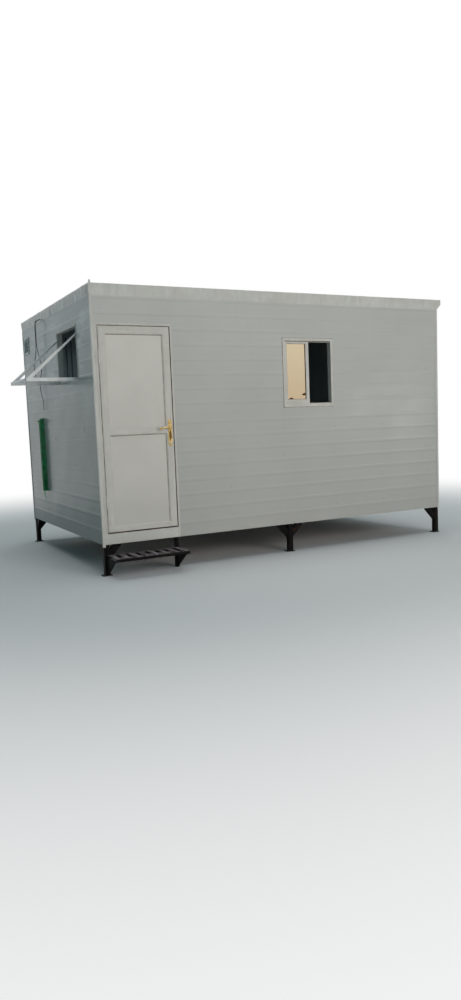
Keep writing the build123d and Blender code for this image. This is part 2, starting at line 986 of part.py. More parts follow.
def wall_vent():
    """A square frame with sloping blades across it, in the hole through the wall."""
    low = vent_base
    high = vent_base + vent_size
    near = vent_near
    far = vent_near + vent_size
    face = block(-vent_proud, 0, near, far, low, high)
    sleeve = block(0, wall, near + vent_frame, far - vent_frame, low + vent_frame, high - vent_frame)
    skin = ac_lining
    inside = block(
        -vent_proud - overcut, wall + overcut,
        near + vent_frame + skin, far - vent_frame - skin,
        low + vent_frame + skin, high - vent_frame - skin,
    )
    body = face + sleeve - inside
    span = far - near - 2 * vent_frame
    pitch = (high - low - 2 * vent_frame) / blade_count
    for number in range(blade_count):
        middle = low + vent_frame + pitch * (number + 0.5)
        blade = Box(blade_depth, span, blade_thickness)
        place = Pos(-vent_proud + blade_depth / 2, (near + far) / 2, middle) * Rot(0, -blade_tilt, 0)
        body = body + place * blade
    return body


def lead_tube(points):
    """A tube through hand-picked points, each given by X, Y and its drop below the walls' top."""
    route = [(x, y, wall_top - drop) for x, y, drop in points]
    radii = []
    for before, corner, after in zip(route, route[1:], route[2:]):
        first = Vector(*corner) - Vector(*before)
        second = Vector(*after) - Vector(*corner)
        half_turn = math.radians(first.get_angle(second)) / 2
        radii.append(lead_arc_share * min(first.length, second.length) / math.tan(half_turn))
    path = FilletPolyline(*route, radius=radii)
    start = Plane(origin=route[0], z_dir=Vector(*route[1]) - Vector(*route[0]))
    section = start * RegularPolygon(lead_diameter / 2, lead_flat_count)
    tube = sweep(section, path=path)
    print("lead", round(path.length), "mm long, tightest bend", round(min(radii)), "mm")
    print("volume against section times length", round(tube.volume / (path.length * section.area), 4))
    return tube


def lead_long():
    """The longer lead, out of the flashing's foot, down the wall to a bare end below the shelf."""
    return lead_tube([
        (-3, 1951, -32.5), (-30, 1951, -30), (-50, 1952, -12), (-60, 1955, 25), (-62, 1962, 88),
        (-60, 1976, 176), (-56, 1996, 270), (-42, 2006, 340), (-28, 2021, 410),
        (-14, 1988, 490), (-16, 1972, 570), (-26, 2011, 640), (-33, 2036, 720),
        (-30, 2040, 805), (-22, 2024, 885), (-12, 1988, 955), (-16, 2006, 1045),
    ])


def lead_short():
    """The shorter lead, beside the long one, to a bare end near the shelf's height."""
    return lead_tube([
        (-3, 2010, -32.5), (-30, 2010, -30), (-50, 2011, -12), (-58, 2014, 28), (-57, 2022, 88),
        (-53, 2036, 174), (-50, 2048, 262), (-50, 2071, 345), (-54, 2111, 420),
        (-62, 2136, 490), (-66, 2144, 565), (-52, 2136, 640),
    ])


def green_trunking():
    """A closed-fronted channel on the wall, with a catch at the top and a tab at the bottom."""
    near = trunk_near
    far = trunk_near + trunk_width
    top = trunk_base + trunk_height
    back = bead_height
    body = block(-trunk_depth, back, near, far, trunk_base, top)
    hollow = block(
        -trunk_depth + trunk_wall, back + overcut, near + trunk_wall, far - trunk_wall,
        trunk_base - overcut, top - trunk_wall,
    )
    catch = block(
        -trunk_depth - trunk_catch, -trunk_depth, near, far, top - 2 * trunk_catch, top - trunk_catch,
    )
    tab = block(
        back - trunk_wall, back, near - trunk_tab_reach, near, trunk_base, trunk_base + trunk_tab_height,
    )
    return body - hollow + catch + tab


os.makedirs("parts", exist_ok=True)

write("long_beams", *long_beams())
write("end_beams", *end_beams())
write("floor_joists", *floor_joists())
write("floor_deck", floor_deck())
write("front_legs", *front_legs())
write("back_legs", *back_legs())
write("step_bars", *step_bars())
write("step_slats", *step_slats())
write("step_brackets", *step_brackets())
write("front_wall", front_wall())
write("front_wall_over_door", front_wall_over_door())
write("left_wall", left_wall())
write("right_wall", right_wall())
write("back_wall", back_wall())
write("front_cladding", front_cladding())
write("left_cladding", left_cladding())
write("right_cladding", right_cladding())
write("back_cladding", back_cladding())
write("corner_trims", *corner_trims())
write("roof_panel", roof_panel())
write("roof_sheet", roof_sheet())
write("long_fascias", *long_fascias())
write("end_fascias", *end_fascias())
write("door_frame", *door_frame())
write("door_stops", *door_stops())
write("door_threshold", door_threshold())
write("door_leaf", door_leaf())
write("door_panel_lower", door_panel(False))
write("door_panel_upper", door_panel(True))
write("hinge_frame_halves", *hinge_frame_halves())
write("hinge_door_halves", *hinge_door_halves())
write("handle_plates", *handle_plates())
write("door_lever", door_lever())
write("window_frame", window_frame())
write("window_sash_outer", window_sash(False))
write("window_sash_inner", window_sash(True))
write("window_glass", *window_glass())
write("ac_opening_frame", ac_opening_frame())
write("ac_shelf_rails", *ac_shelf_rails())
write("ac_shelf_front_bar", ac_shelf_front_bar())
write("ac_shelf_ties", *ac_shelf_ties())
write("wall_vent", wall_vent())
write("lead_long", lead_long())
write("lead_short", lead_short())
write("green_trunking", green_trunking())
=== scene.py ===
import math

import bmesh
import bpy
import numpy as np
from mathutils import Euler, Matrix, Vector


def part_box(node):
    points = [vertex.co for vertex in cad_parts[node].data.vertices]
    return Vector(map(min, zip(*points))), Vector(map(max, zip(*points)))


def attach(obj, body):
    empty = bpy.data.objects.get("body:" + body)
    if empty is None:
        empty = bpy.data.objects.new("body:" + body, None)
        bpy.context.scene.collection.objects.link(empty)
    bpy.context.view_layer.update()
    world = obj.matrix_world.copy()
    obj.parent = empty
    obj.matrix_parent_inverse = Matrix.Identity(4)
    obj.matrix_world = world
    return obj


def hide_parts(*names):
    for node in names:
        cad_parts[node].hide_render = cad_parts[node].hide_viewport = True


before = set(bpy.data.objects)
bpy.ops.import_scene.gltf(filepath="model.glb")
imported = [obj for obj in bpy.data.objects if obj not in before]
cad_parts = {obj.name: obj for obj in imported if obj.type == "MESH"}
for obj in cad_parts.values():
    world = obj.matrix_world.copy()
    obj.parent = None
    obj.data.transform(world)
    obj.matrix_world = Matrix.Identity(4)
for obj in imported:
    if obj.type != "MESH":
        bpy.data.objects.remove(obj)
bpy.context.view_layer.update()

# Camera. It stands at a person's eye height off the cabin's near left corner and looks a little
# down along the front. The image is 461 by 1000 points, and the lens is given for its long side.
image_height = 1000
focal_points = 752
sensor = 36
scene = bpy.context.scene


def added(name, data):
    """A new object with its data, put into the scene."""
    made = bpy.data.objects.new(name, data)
    scene.collection.objects.link(made)
    return made


camera = added("camera", bpy.data.cameras.new("camera"))
camera.data.sensor_width = sensor
camera.data.lens = focal_points / image_height * sensor
camera.location = (-4.26219, -8.55882, 1.50460)
camera.rotation_euler = Euler([math.radians(turn) for turn in (84.0467, 2.2799, -27.5958)])
scene.camera = camera
scene.view_settings.view_transform = "Standard"

# Electric leads. Two round flexible leads with a black PVC sheath come out of the slanted foot of
# the left edge flashing and hang down the wall to bare cut ends. The extruded sheath is satin, with
# dust in patches and a faint unevenness over the cores inside.
near_left_corner = np.array([*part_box("front_cladding")[0]][:2] + [0.0])


def metres(points):
    """Millimetres from the cabin's near left ground corner, in the shared frame's metres."""
    return near_left_corner + np.asarray(points, float) / 1000


def span(cad_node):
    """Lowest and highest corner of a CAD node, in millimetres from the near left ground corner."""
    return [(np.array(end) - near_left_corner) * 1000 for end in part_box(cad_node)]


def linear(code):
    """The linear colour of an sRGB hex code: a straight foot, then the power 2.4 curve."""
    srgb = np.array([int(code[start:start + 2], 16) for start in (1, 3, 5)]) / 255
    curve = np.where(srgb <= 0.04045, srgb / 12.92, ((srgb + 0.055) / 1.055) ** 2.4)
    return (*curve, 1.0)


def node(finish, kind, sockets=(), take=0, **settings):
    """Adds one shader node and gives the output to take. A socket gets a number, a colour, an sRGB
    hex code, or the socket that feeds it."""
    made = finish.node_tree.nodes.new("ShaderNode" + kind)
    for name, value in settings.items():
        setattr(made, name, value)
    for key, value in dict(sockets).items():
        if isinstance(value, bpy.types.NodeSocket):
            finish.node_tree.links.new(value, made.inputs[key])
        else:
            made.inputs[key].default_value = linear(value) if isinstance(value, str) else value
    return made.outputs[take]


def new_finish(name, **constants):
    """A finish whose shader has these constants on its own sockets, and its coordinates."""
    finish = bpy.data.materials.new(name)
    finish.use_nodes = True
    shader = finish.node_tree.nodes["Principled BSDF"]
    for key, value in constants.items():
        shader.inputs[key.replace("_", " ")].default_value = value
    node(finish, "TexCoord")
    return finish


def place(finish, side=None):
    """Where a point of the piece is, in metres, or its place along one side, X, Y or Z."""
    here = finish.node_tree.nodes["Texture Coordinate"].outputs["Object"]
    return node(finish, "SeparateXYZ", {0: here}, side) if side else here


def patches(finish, size, low=0.4, high=0.6, detail=4.0, stretch=(1, 1, 1)):
    """Noise in patches of a size in millimetres, from 0 below one level to 1 above another."""
    scaled = node(finish, "Mapping", {"Vector": place(finish), "Scale": stretch})
    noise = node(finish, "TexNoise", {"Vector": scaled, "Scale": 1000 / size, "Detail": detail})
    return node(finish, "MapRange", {0: noise, 1: low, 2: high})


def layered(finish, colour, *layers):
    """A base colour under layers, each a colour and the shares that say, multiplied, how far it
    covers what lies under it."""
    for stain, share, *others in layers:
        for other in others:
            share = node(finish, "Math", {0: share, 1: other}, operation="MULTIPLY")
        colour = node(finish, "Mix", {0: share, 6: colour, 7: stain}, 2, data_type="RGBA")
    return colour


def feed(finish, colour, *layers, height=None, relief=1.0, roughness=None):
    """Joins to the shader's sockets a colour under its layers, a height from 0 to 1 as a relief in
    millimetres, and a roughness, given as a share and its values where the share is 0 and 1."""
    sources = {"Base Color": layered(finish, colour, *layers)}
    if height is not None:
        bump = {"Height": height, "Distance": relief / 1000, "Strength": 1.0}
        sources["Normal"] = node(finish, "Bump", bump)
    if roughness is not None:
        share, low, high = roughness
        sources["Roughness"] = node(finish, "MapRange", {0: share, 3: low, 4: high})
    for key, source in sources.items():
        finish.node_tree.links.new(source, finish.node_tree.nodes["Principled BSDF"].inputs[key])


def mottled(name, first, second, patch, grain=(), relief=1.0, **constants):
    """A finish of two colours in patches, and its grain as a fine relief. Both are given by what
    patches takes: a size in millimetres, two levels, the detail and the stretch."""
    finish = new_finish(name, **constants)
    height = patches(finish, *grain) if grain else None
    feed(finish, first, (second, patches(finish, *patch)), height=height, relief=relief)
    return finish


sheath = mottled("extruded_pvc_sheath", "#17171A", "#3A3733", (60,), (14, 0.3, 0.7, 4, (1, 1, 3)),
                 Roughness=0.42)

wall_top = span("front_cladding")[1][2]
lead_diameter = 8
routes = {
    "lead_long": (1.147, [
        (-3, 1951, -32.5), (-30, 1951, -30), (-50, 1952, -12), (-60, 1955, 25), (-62, 1962, 88),
        (-60, 1976, 176), (-56, 1996, 270), (-42, 2006, 340), (-28, 2021, 410),
        (-14, 1988, 490), (-16, 1972, 570), (-26, 2011, 640), (-33, 2036, 720),
        (-30, 2040, 805), (-22, 2024, 885), (-12, 1988, 955), (-16, 2006, 1045),
    ]),
    "lead_short": (0.726, [
        (-3, 2010, -32.5), (-30, 2010, -30), (-50, 2011, -12), (-58, 2014, 28), (-57, 2022, 88),
        (-53, 2036, 174), (-50, 2048, 262), (-50, 2071, 345), (-54, 2111, 420),
        (-62, 2136, 490), (-66, 2144, 565), (-52, 2136, 640),
    ]),
}
for lead_node, (lead_length, drops) in routes.items():
    route = metres([(x, y, wall_top - drop) for x, y, drop in drops])
    line = bpy.data.curves.new(lead_node + "_flex", "CURVE")
    line.dimensions = "3D"
    line.bevel_depth = lead_diameter / 2000
    line.bevel_resolution = 5
    line.use_fill_caps = True
    line.resolution_u = 10
    spline = line.splines.new("NURBS")
    spline.points.add(len(route) - 1)
    spline.points.foreach_set("co", np.c_[route, np.ones(len(route))].ravel())
    spline.order_u = 3
    spline.use_endpoint_u = True
    line.materials.append(sheath)
    flex = added(lead_node + "_flex", line)
    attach(flex, "cabin")
    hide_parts(lead_node)

# Floor and lights. A plain pale floor keeps the cabin's shadow and fades to white away from it. The
# light is soft: a cool surrounding, a wide light from above, a warm softbox in front of the long
# side, a fill from behind, and a small card that only gloss sees, for the glints of thin sheet.
floor_radius = 60
fade_start = 3.4
fade_end = 10
white = (1, 1, 1, 1)


def seen_directly(shading):
    """1 for a ray from the camera, off gloss or through glass, and 0 for light on things."""
    path = node(shading, "LightPath").node.outputs
    seen = path["Is Camera Ray"]
    for ray in ("Is Glossy Ray", "Is Transmission Ray"):
        seen = node(shading, "Math", {0: seen, 1: path[ray]}, operation="MAXIMUM")
    return seen


disc = bmesh.new()
bmesh.ops.create_circle(disc, cap_ends=True, segments=96, radius=floor_radius)
floor_mesh = bpy.data.meshes.new("studio_floor")
disc.to_mesh(floor_mesh)
floor = added("studio_floor", floor_mesh)
pale = new_finish("matt_studio_floor", Roughness=0.9, Base_Color=linear("#D4D5D5"),
                  Specular_IOR_Level=0.1)
away = node(pale, "VectorMath", {0: place(pale)}, "Value", operation="LENGTH")
far = node(pale, "MapRange", {0: away, 1: fade_start, 2: fade_end}, interpolation_type="SMOOTHSTEP")
faded = node(pale, "Math", {0: far, 1: seen_directly(pale)}, operation="MULTIPLY")
glow = node(pale, "Emission", {"Color": white, "Strength": 1.0})
matt = pale.node_tree.nodes["Principled BSDF"].outputs[0]
blend = node(pale, "MixShader", {0: faded, 1: matt, 2: glow})
pale.node_tree.links.new(blend, pale.node_tree.nodes["Material Output"].inputs["Surface"])
floor_mesh.materials.append(pale)

world = bpy.data.worlds.new("studio")
scene.world = world
world.use_nodes = True
world_glow = world.node_tree.nodes["Background"]
world_glow.inputs["Strength"].default_value = 1.0
sky_light = (0.03, 0.1, 0.118, 1)
sky = layered(world, sky_light, (white, seen_directly(world)))
world.node_tree.links.new(sky, world_glow.inputs["Color"])

overhead = added("overhead_light", bpy.data.lights.new("overhead_light", "SUN"))
overhead.data.energy = 0.95
overhead.data.angle = math.radians(45)
for lamp_name, stand, aim, size, power, colour, glint in (
    ("front_softbox", (0.9, -11.5, 3.4), (0, 0, 1.2), 5.0, 558, (1.0, 0.918, 0.885), False),
    ("back_softbox", (8.0, 11.0, 5.0), (0, 0, 1.2), 5.0, 420, (1.0, 0.98, 0.95), False),
    ("glint_card", (9.8, -11.0, 1.7), (1.9, -1.3, 1.6), 1.0, 75, (1.0, 1.0, 1.0), True),
):
    lamp = added(lamp_name, bpy.data.lights.new(lamp_name, "AREA"))
    lamp.data.size = size
    lamp.data.energy = power
    lamp.data.color = colour
    lamp.visible_glossy = glint
    lamp.visible_diffuse = not glint
    lamp.location = stand
    lamp.rotation_euler = (Vector(aim) - Vector(stand)).to_track_quat("-Z", "Y").to_euler()

# Base frame and legs. Rolled channels, joists and square tube legs on thin foot plates, welded
# together and brushed over with black enamel. The enamel is satin, a bit uneven from the brush,
# with pale dust on what faces up and rust bleeding through in specks.


def dress(made, finish, body="cabin", stands_for=()):
    """Gives a finished mesh its finish and slot, puts it on a body and hides what it stands for."""
    made.data.materials.clear()
    made.data.materials.append(finish)
    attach(made, body)
    if stands_for:
        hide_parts(*stands_for)
    return made


def eased_copy(cad_node, name, finish, body="cabin", ease=1.0, stations=(), shift=None):
    """A merged copy of a CAD node with its flat faces whole again, and a narrow bevel in
    millimetres on every edge that turns by more than 28 degrees. It may be cut at stations, each an
    axis and a place on it, and shifted by a function of its points."""
    work = bmesh.new()
    work.from_mesh(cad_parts[cad_node].data)
    bmesh.ops.remove_doubles(work, verts=work.verts, dist=1e-5)
    bmesh.ops.dissolve_limit(work, angle_limit=math.radians(1), verts=work.verts, edges=work.edges)
    for axis, station in stations:
        normal = Vector([float(side == axis) for side in range(3)])
        everything = work.verts[:] + work.edges[:] + work.faces[:]
        at = Vector(metres([station] * 3))
        bmesh.ops.bisect_plane(work, geom=everything, dist=1e-6, plane_co=at, plane_no=normal)
    bmesh.ops.recalc_face_normals(work, faces=work.faces)
    mesh = bpy.data.meshes.new(name)
    work.to_mesh(mesh)
    work.free()
    if shift is not None:
        points = np.zeros(len(mesh.vertices) * 3)
        mesh.vertices.foreach_get("co", points)
        points = (points.reshape(-1, 3) - near_left_corner) * 1000
        mesh.vertices.foreach_set("co", metres(points + shift(points)).ravel())
    mesh.polygons.foreach_set("use_smooth", np.ones(len(mesh.polygons), bool))
    made = added(name, mesh)
    bevel = made.modifiers.new("eased_edges", "BEVEL")
    bevel.width = ease / 1000
    bevel.segments = 2
    bevel.limit_method = "ANGLE"
    bevel.angle_limit = math.radians(28)
    bevel.harden_normals = True
    return dress(made, finish, body, [cad_node])


def upward(finish):
    """How far a face looks up, from 0 on the level of upright faces to 1 on flat tops."""
    height = node(finish, "SeparateXYZ", {0: node(finish, "NewGeometry", (), "Normal")}, "Z")
    return node(finish, "MapRange", {0: height, 1: 0.2, 2: 0.9})


enamel = new_finish("brushed_black_enamel_on_steel", Roughness=0.6, Specular_IOR_Level=0.08)
enamel_rust = patches(enamel, 26, 0.63, 0.72, 8)
feed(enamel, "#0A0A0A", ("#100F0F", patches(enamel, 130)),
     ("#332D28", upward(enamel), patches(enamel, 90, 0.25, 0.6)), ("#4A2A1B", enamel_rust),
     roughness=(enamel_rust, 0.55, 0.85), height=patches(enamel, 6, 0.2, 0.8, 5, (1, 1, 0.25)))
for part in ("long_beams", "end_beams", "floor_joists", "front_legs", "back_legs",
             "step_bars", "step_brackets"):
    eased_copy(part, part + "_painted", enamel, ease=1.5)

# Step slats. Flat bars welded across the step, their black paint trodden through to dull grey.
worn = new_finish("trodden_black_paint_on_flat_bar", Roughness=0.55, Specular_IOR_Level=0.12)
feed(worn, "#161415", ("#857D81", upward(worn), patches(worn, 60, 0.36, 0.56, 6, (5, 0.4, 1))),
     ("#2E2520", patches(worn, 22, 0.6, 0.75)), height=patches(worn, 5, 0.2, 0.8))
eased_copy("step_slats", "step_slats_trodden", worn, ease=1.2)

# Floor board. Sheets of film-faced plywood, rubbed and dusty, screwed down to the joists. The grain
# shows through the worn film as long streaks along the cabin.
ply_grain = (22, 0.3, 0.7, 8, (0.12, 1, 1))
ply = mottled("film_faced_plywood", "#8A7A66", "#6C5C4A", ply_grain, ply_grain, Roughness=0.6)
eased_copy("floor_deck", "floor_board_sheets", ply, ease=1.0)

# Wall and roof cores. Foam-filled panels whose inner skin is smooth white roll-coated steel, which
# gives a soft even sheen with faint broad clouds.
lining = mottled("coated_steel_inner_skin", "#D3D5D2", "#C6C9C7", (700, 0.3, 0.7), (40, 0.2, 0.8),
                 Roughness=0.38)
for part in ("front_wall", "front_wall_over_door", "left_wall", "right_wall", "back_wall",
             "roof_panel"):
    eased_copy(part, part + "_core", lining, ease=0.8)

# Outer sheets. Thin galvanised steel with a glossy white polyester coat, roll-pressed with raised
# beads every 151 mm, the upper sheet lapped over the lower one at mid height. Screwed to studs, it
# bulges a little between them, which gives the soft moving glints of thin sheet.
bead_pitch = 151
bead_width = 34
bead_edge = 6
bead_height = 0.8
face_depth = 1.5
lap_height = 1601
lap_step = 1.5
lower_first = 140
upper_first = 116
stud_pitch = 690
first_stud = 100
sheet_back = 7.6
ripple_middle = (3600, 1620)
ripple_reach = (650, 330)
ripple_slope = 0.3
body_low, body_high = span("front_cladding")
body_length, sheet_depth = body_high[:2]
body_width = span("back_cladding")[1][1]
wall_base = body_low[2]
window_low, window_high = span("window_frame")
ac_low, ac_high = span("ac_opening_frame")
vent_low, vent_high = span("wall_vent")
frame_lap = 12
ac_flange = 14
vent_frame = 20


def opening(low, high, inset=0, axis=0):
    """A rectangle set in from a box's edges: its left, right, foot and head along an axis."""
    return low[axis] + inset, high[axis] - inset, low[2] + inset, high[2] - inset


doorway = (-10, span("door_frame")[1][0], wall_base - 10, span("door_leaf")[1][2] + 30)
window_hole = opening(window_low, window_high, frame_lap)
left_openings = [opening(ac_low, ac_high, ac_flange, 1),
                 opening(vent_low, vent_high, vent_frame, 1)]


def quads_of(rows, columns, round_rows=False, round_columns=False):
    """Quads over a grid of points, each joining four neighbours; a round side joins up again."""
    row = np.arange(rows if round_rows else rows - 1)[:, None]
    column = np.arange(columns if round_columns else columns - 1)[None]
    right = (column + 1) % columns
    below = (row + 1) % rows
    corners = [row * columns + column, row * columns + right,
               below * columns + right, below * columns + column]
    return np.stack(np.broadcast_arrays(*corners), axis=-1).reshape(-1, 4)


def build(name, shells, finish, body="cabin", stands_for=(), sharp=40):
    """One object from closed shells, each its points in millimetres and its arrays of faces. Edges
    that turn by more than the sharp angle stay crisp."""
    points, faces, start = [], [], 0
    for shell_points, shell_faces in shells:
        points.append(np.reshape(shell_points, (-1, 3)))
        for group in shell_faces:
            faces += (np.asarray(group) + start).tolist()
        start += len(points[-1])
    mesh = bpy.data.meshes.new(name)
    mesh.from_pydata(metres(np.concatenate(points)).tolist(), [], faces)
    work = bmesh.new()
    work.from_mesh(mesh)
    bmesh.ops.delete(work, geom=[v for v in work.verts if not v.link_faces], context="VERTS")
    bmesh.ops.recalc_face_normals(work, faces=work.faces)
    work.to_mesh(mesh)
    work.free()
    mesh.polygons.foreach_set("use_smooth", np.ones(len(mesh.polygons), bool))
    mesh.set_sharp_from_angle(angle=math.radians(sharp))
    return dress(added(name, mesh), finish, body, stands_for)


def points_of(*sides):
    """Points from grids or single numbers for their places along X, Y and Z."""
    return np.stack(np.broadcast_arrays(*sides), axis=-1).reshape(-1, 3)


def thick(front, back, quads):
    """A closed shell: a grid in front, the same grid at the back, and a rim round open edges."""
    count = len(front)
    edges = np.concatenate([quads[:, [side, (side + 1) % 4]] for side in range(4)])
    keys = edges.min(1) * count + edges.max(1)
    _, first, uses = np.unique(keys, return_index=True, return_counts=True)
    start, end = edges[first[uses == 1]].T
    rim = np.stack([end, start, start + count, end + count], axis=1)
    return np.concatenate([front, back]), [quads, quads[:, ::-1] + count, rim]


def bead_relief(height, low):
    """How far the sheet's face stands out at each height: smooth beads at an even pitch, above a
    flat that lies one lap step further in below the lap."""
    lower = height < lap_height
    first = np.where(lower, low + lower_first, lap_height + upper_first)
    top = np.where(lower, lap_height, wall_top) - bead_width
    last = np.floor((top - first) / bead_pitch)
    middle = first + bead_pitch * np.clip(np.round((height - first) / bead_pitch), 0, last)
    rise = np.clip((bead_width / 2 - np.abs(height - middle)) / bead_edge, 0, 1)
    return bead_height * rise * rise * (3 - 2 * rise) - np.where(lower, lap_step, 0)


def sheet_face(along, height, low, seed, run_end):
    """Depth of a sheet behind the wall's outer plane: flats at the beads' height, less the beads,
    plus waves that die out at the studs, where the screws hold the sheet, and a band of ripples."""
    held = np.abs(np.sin(np.pi * (along - first_stud) / stud_pitch)) ** 0.7
    edge = (np.clip(np.minimum(along, run_end - along) / 160, 0, 1)
            * np.clip((wall_top - height) / 120, 0, 1))
    creased = np.sin(along / 83 - height / 47 + 1.4 * np.sin(along / 260 + seed))
    waves = (np.sin(along / 171 + height / 610 + seed) * np.sin(height / 173 + 2.1 * seed)
             + 0.7 * np.sin(along / 97 - height / 111 + 1.7 * seed)
             + 0.45 * creased * np.clip(np.sin(along / 700 + height / 330 + 3.3 * seed), 0, 1))
    beside = along - ripple_middle[0]
    above = height - ripple_middle[1] - ripple_slope * beside
    rippled = np.exp(-(beside / ripple_reach[0]) ** 2 - (above / ripple_reach[1]) ** 2)
    ripples = np.sin((height - 0.45 * along) / 42 + 1.6 * np.sin(along / 240 + seed))
    waves = waves + 1.2 * rippled * ripples
    return face_depth - bead_relief(height, low) + 1.1 * held * edge * waves


def pressed_sheet(run, low, high, holes, seed):
    """A wall's sheet as a function of two numbers, along the wall and up it, cut for its holes."""
    steps = np.array([0, 0.25, 0.5, 0.75, 1]) * bead_edge - bead_width / 2
    bead_rows = np.concatenate([steps, -steps])
    lower = np.arange(low + lower_first, lap_height - bead_width, bead_pitch)
    upper = np.arange(lap_height + upper_first, high - bead_width, bead_pitch)
    beads = np.concatenate([lower, upper])
    between = beads[:, None] + np.array([0.3, 0.5, 0.7]) * bead_pitch
    rows = [(beads[:, None] + bead_rows).ravel(), between.ravel(),
            [low, lap_height - 0.6, lap_height, high]]
    columns = [np.linspace(run[0], run[1], int((run[1] - run[0]) / 40))]
    for left, right, foot, head in holes:
        rows.append([foot, head])
        columns.append([left, right])
    up = np.unique(np.clip(np.concatenate(rows), low, high).round(2))
    across = np.unique(np.clip(np.concatenate(columns), *run).round(2))
    along, height = np.meshgrid(across, up)
    front = points_of(along, sheet_face(along, height, low, seed, run[1]), height)
    back = front * (1, 0, 1) + (0, sheet_back, 0)
    quads = quads_of(len(up), len(across))
    across, _, up = front[quads].mean(1).T
    inside = np.zeros(len(quads), bool)
    for left, right, foot, head in holes:
        inside |= (across > left) & (across < right) & (up > foot) & (up < head)
    return thick(front, back, quads[~inside])


def graded(finish, side, start, end, first=0.0, last=1.0):
    """A number that goes from the first to the last between two places on a side, in metres."""
    return node(finish, "MapRange", {0: place(finish, side), 1: start, 2: end, 3: first, 4: last})


def spot(finish, middle, reach, fade, full):
    """A soft spot: 1 near its middle and 0 far from it. The distance is in shares of the spot's
    reach along X, Y and Z, and the spot fades between the full share and the fade share."""
    moved = node(finish, "VectorMath", {0: place(finish), 1: tuple(metres(middle))},
                 operation="SUBTRACT")
    scaled = node(finish, "VectorMath", {0: moved, 1: [1000 / size for size in reach]},
                  operation="MULTIPLY")
    away = node(finish, "VectorMath", {0: scaled}, "Value", operation="LENGTH")
    return node(finish, "MapRange", {0: away, 1: fade, 2: full})


# The coat has soft clouds, faint streaks run down it, and painted shade greys it towards the foot.
# On the left end wall painted shading darkens it downwards from a light top, and its upper part has
# painted sky reflections in patches and painted highlights on the beads. Each bead has a painted
# shade line just below it and a painted highlight near its upper edge. Over all that come scuffs,
# the left wall's two spots and one wide scuff, and mud splashed up from the ground.
coat = new_finish("glossy_polyester_coated_steel", Roughness=0.2, Specular_IOR_Level=0.08)
end_wall = near_left_corner[0] + 0.01
on_end = graded(coat, "X", end_wall + 0.01, end_wall, 0, 0.5)
upper = graded(coat, "Z", 1.7, 2.2)
clouds = patches(coat, 900, 0.3, 0.7, 3)
lap = lap_height / 1000
first_rows = (wall_base + lower_first) / 1000, lap + upper_first / 1000
bead_row = graded(coat, "Z", lap, lap + 1e-4, *first_rows)
above_row = node(coat, "Math", {0: place(coat, "Z"), 1: bead_row}, operation="SUBTRACT")
above_bead = node(coat, "Math", {0: above_row, 1: 0.0, 2: bead_pitch / 1000}, operation="WRAP")
# The line just below each bead is painted shade, and the line near its upper edge a painted
# highlight.
painted_shade_height, painted_highlight_height = bead_pitch - bead_width / 2 - 1, bead_width / 2 - 3
bead_painted_shade, bead_painted_highlight = [
    node(coat, "Math", {0: above_bead, 1: middle / 1000, 2: half_width / 1000}, operation="COMPARE")
    for middle, half_width in ((painted_shade_height, 4.5), (painted_highlight_height, 2.8))]
spots = [("#3C3A36", spot(coat, middle, [reach] * 3, 1.4, 0.6), patches(coat, 12, 0.3, 0.6, 5),
          min(1, 14 / reach))
         for middle, reach in (((0, 1592, 1386), 17), ((0, 1510, 1379), 24), ((0, 425, 1510), 60))]
# Painted shading for the left end wall: light at the top and darker downwards.
end_wall_painted_shading = layered(coat, "#D6D9D7", ("#7B7E7C", graded(coat, "Z", 2.9, 1.3)))
# In the layers below, the grey towards the foot is painted shade, the lines at the beads are
# painted shade and painted highlights, and the pale patches on the end wall's upper part are
# painted sky reflections.
feed(coat, "#BDBEB9", ("#B6B7B3", clouds),
     ("#9C9B94", patches(coat, 60, 0.55, 0.8, 5, (1, 1, 0.08)), 0.06),
     ("#9F9F9A", graded(coat, "Z", 2.9, 0.3), 0.42), (end_wall_painted_shading, on_end),
     ("#77766F", bead_painted_shade, patches(coat, 420, 0.2, 0.75, 6, (1, 1, 0.2)),
      graded(coat, "Z", 2.7, 1.5, 0.22, 0.16)),
     ("#DCDDD9", bead_painted_highlight, patches(coat, 500, 0.3, 0.8, 6, (1, 1, 0.3)), 0.2),
     ("#F2F4F2", bead_painted_highlight, on_end, upper),
     ("#EEF1EF", on_end, upper, patches(coat, 170, 0.52, 0.7, 3, (1, 0.4, 1.8))),
     ("#66635C", patches(coat, 26, 0.72, 0.78, 3, (1, 1, 1.8)), 0.6), *spots,
     ("#A09684", graded(coat, "Z", 0.75, 0.32), patches(coat, 120, 0.35, 0.75, 6), 0.12),
     height=patches(coat, 9, 0.2, 0.8, 2), relief=0.03, roughness=(clouds, 0.15, 0.23))


def turned(shell, side):
    """A wall's shell, drawn on the front, turned to its own side of the cabin."""
    points, faces = shell
    x, y, z = points.T
    sides = {"front": (x, y), "right": (body_length - y, x), "left": (y, body_width - x),
             "back": (body_length - x, body_width - y)}
    return points_of(*sides[side], z), faces


left_holes = [(body_width - right, body_width - left, foot, head)
              for left, right, foot, head in left_openings]
end_run = (sheet_depth, body_width - sheet_depth)
for side, run, holes, seed in (
    ("front", (0, body_length), [doorway, window_hole], 0.4),
    ("left", end_run, left_holes, 1.9),
    ("right", end_run, [], 3.1),
    ("back", (0, body_length), [], 4.6),
):
    shell = turned(pressed_sheet(run, wall_base, wall_top, holes, seed), side)
    build(side + "_pressed_sheet", [shell], coat, "cabin", [side + "_cladding"], 50)

# Sheet screws. Zinc-plated self-drilling screws hold each sheet to its studs through the flats just
# above the beads. Their heads are painted over with the wall and only show as faint dots.


def outward(along, up, out, side):
    """Points on a face from their place along it, their height and how far they stand out."""
    sides = {"front": (along, -out, up), "back": (along, body_width + out, up),
             "left": (-out, along, up), "right": (body_length + out, along, up),
             "top": (along, up, out)}
    return points_of(*sides[side])


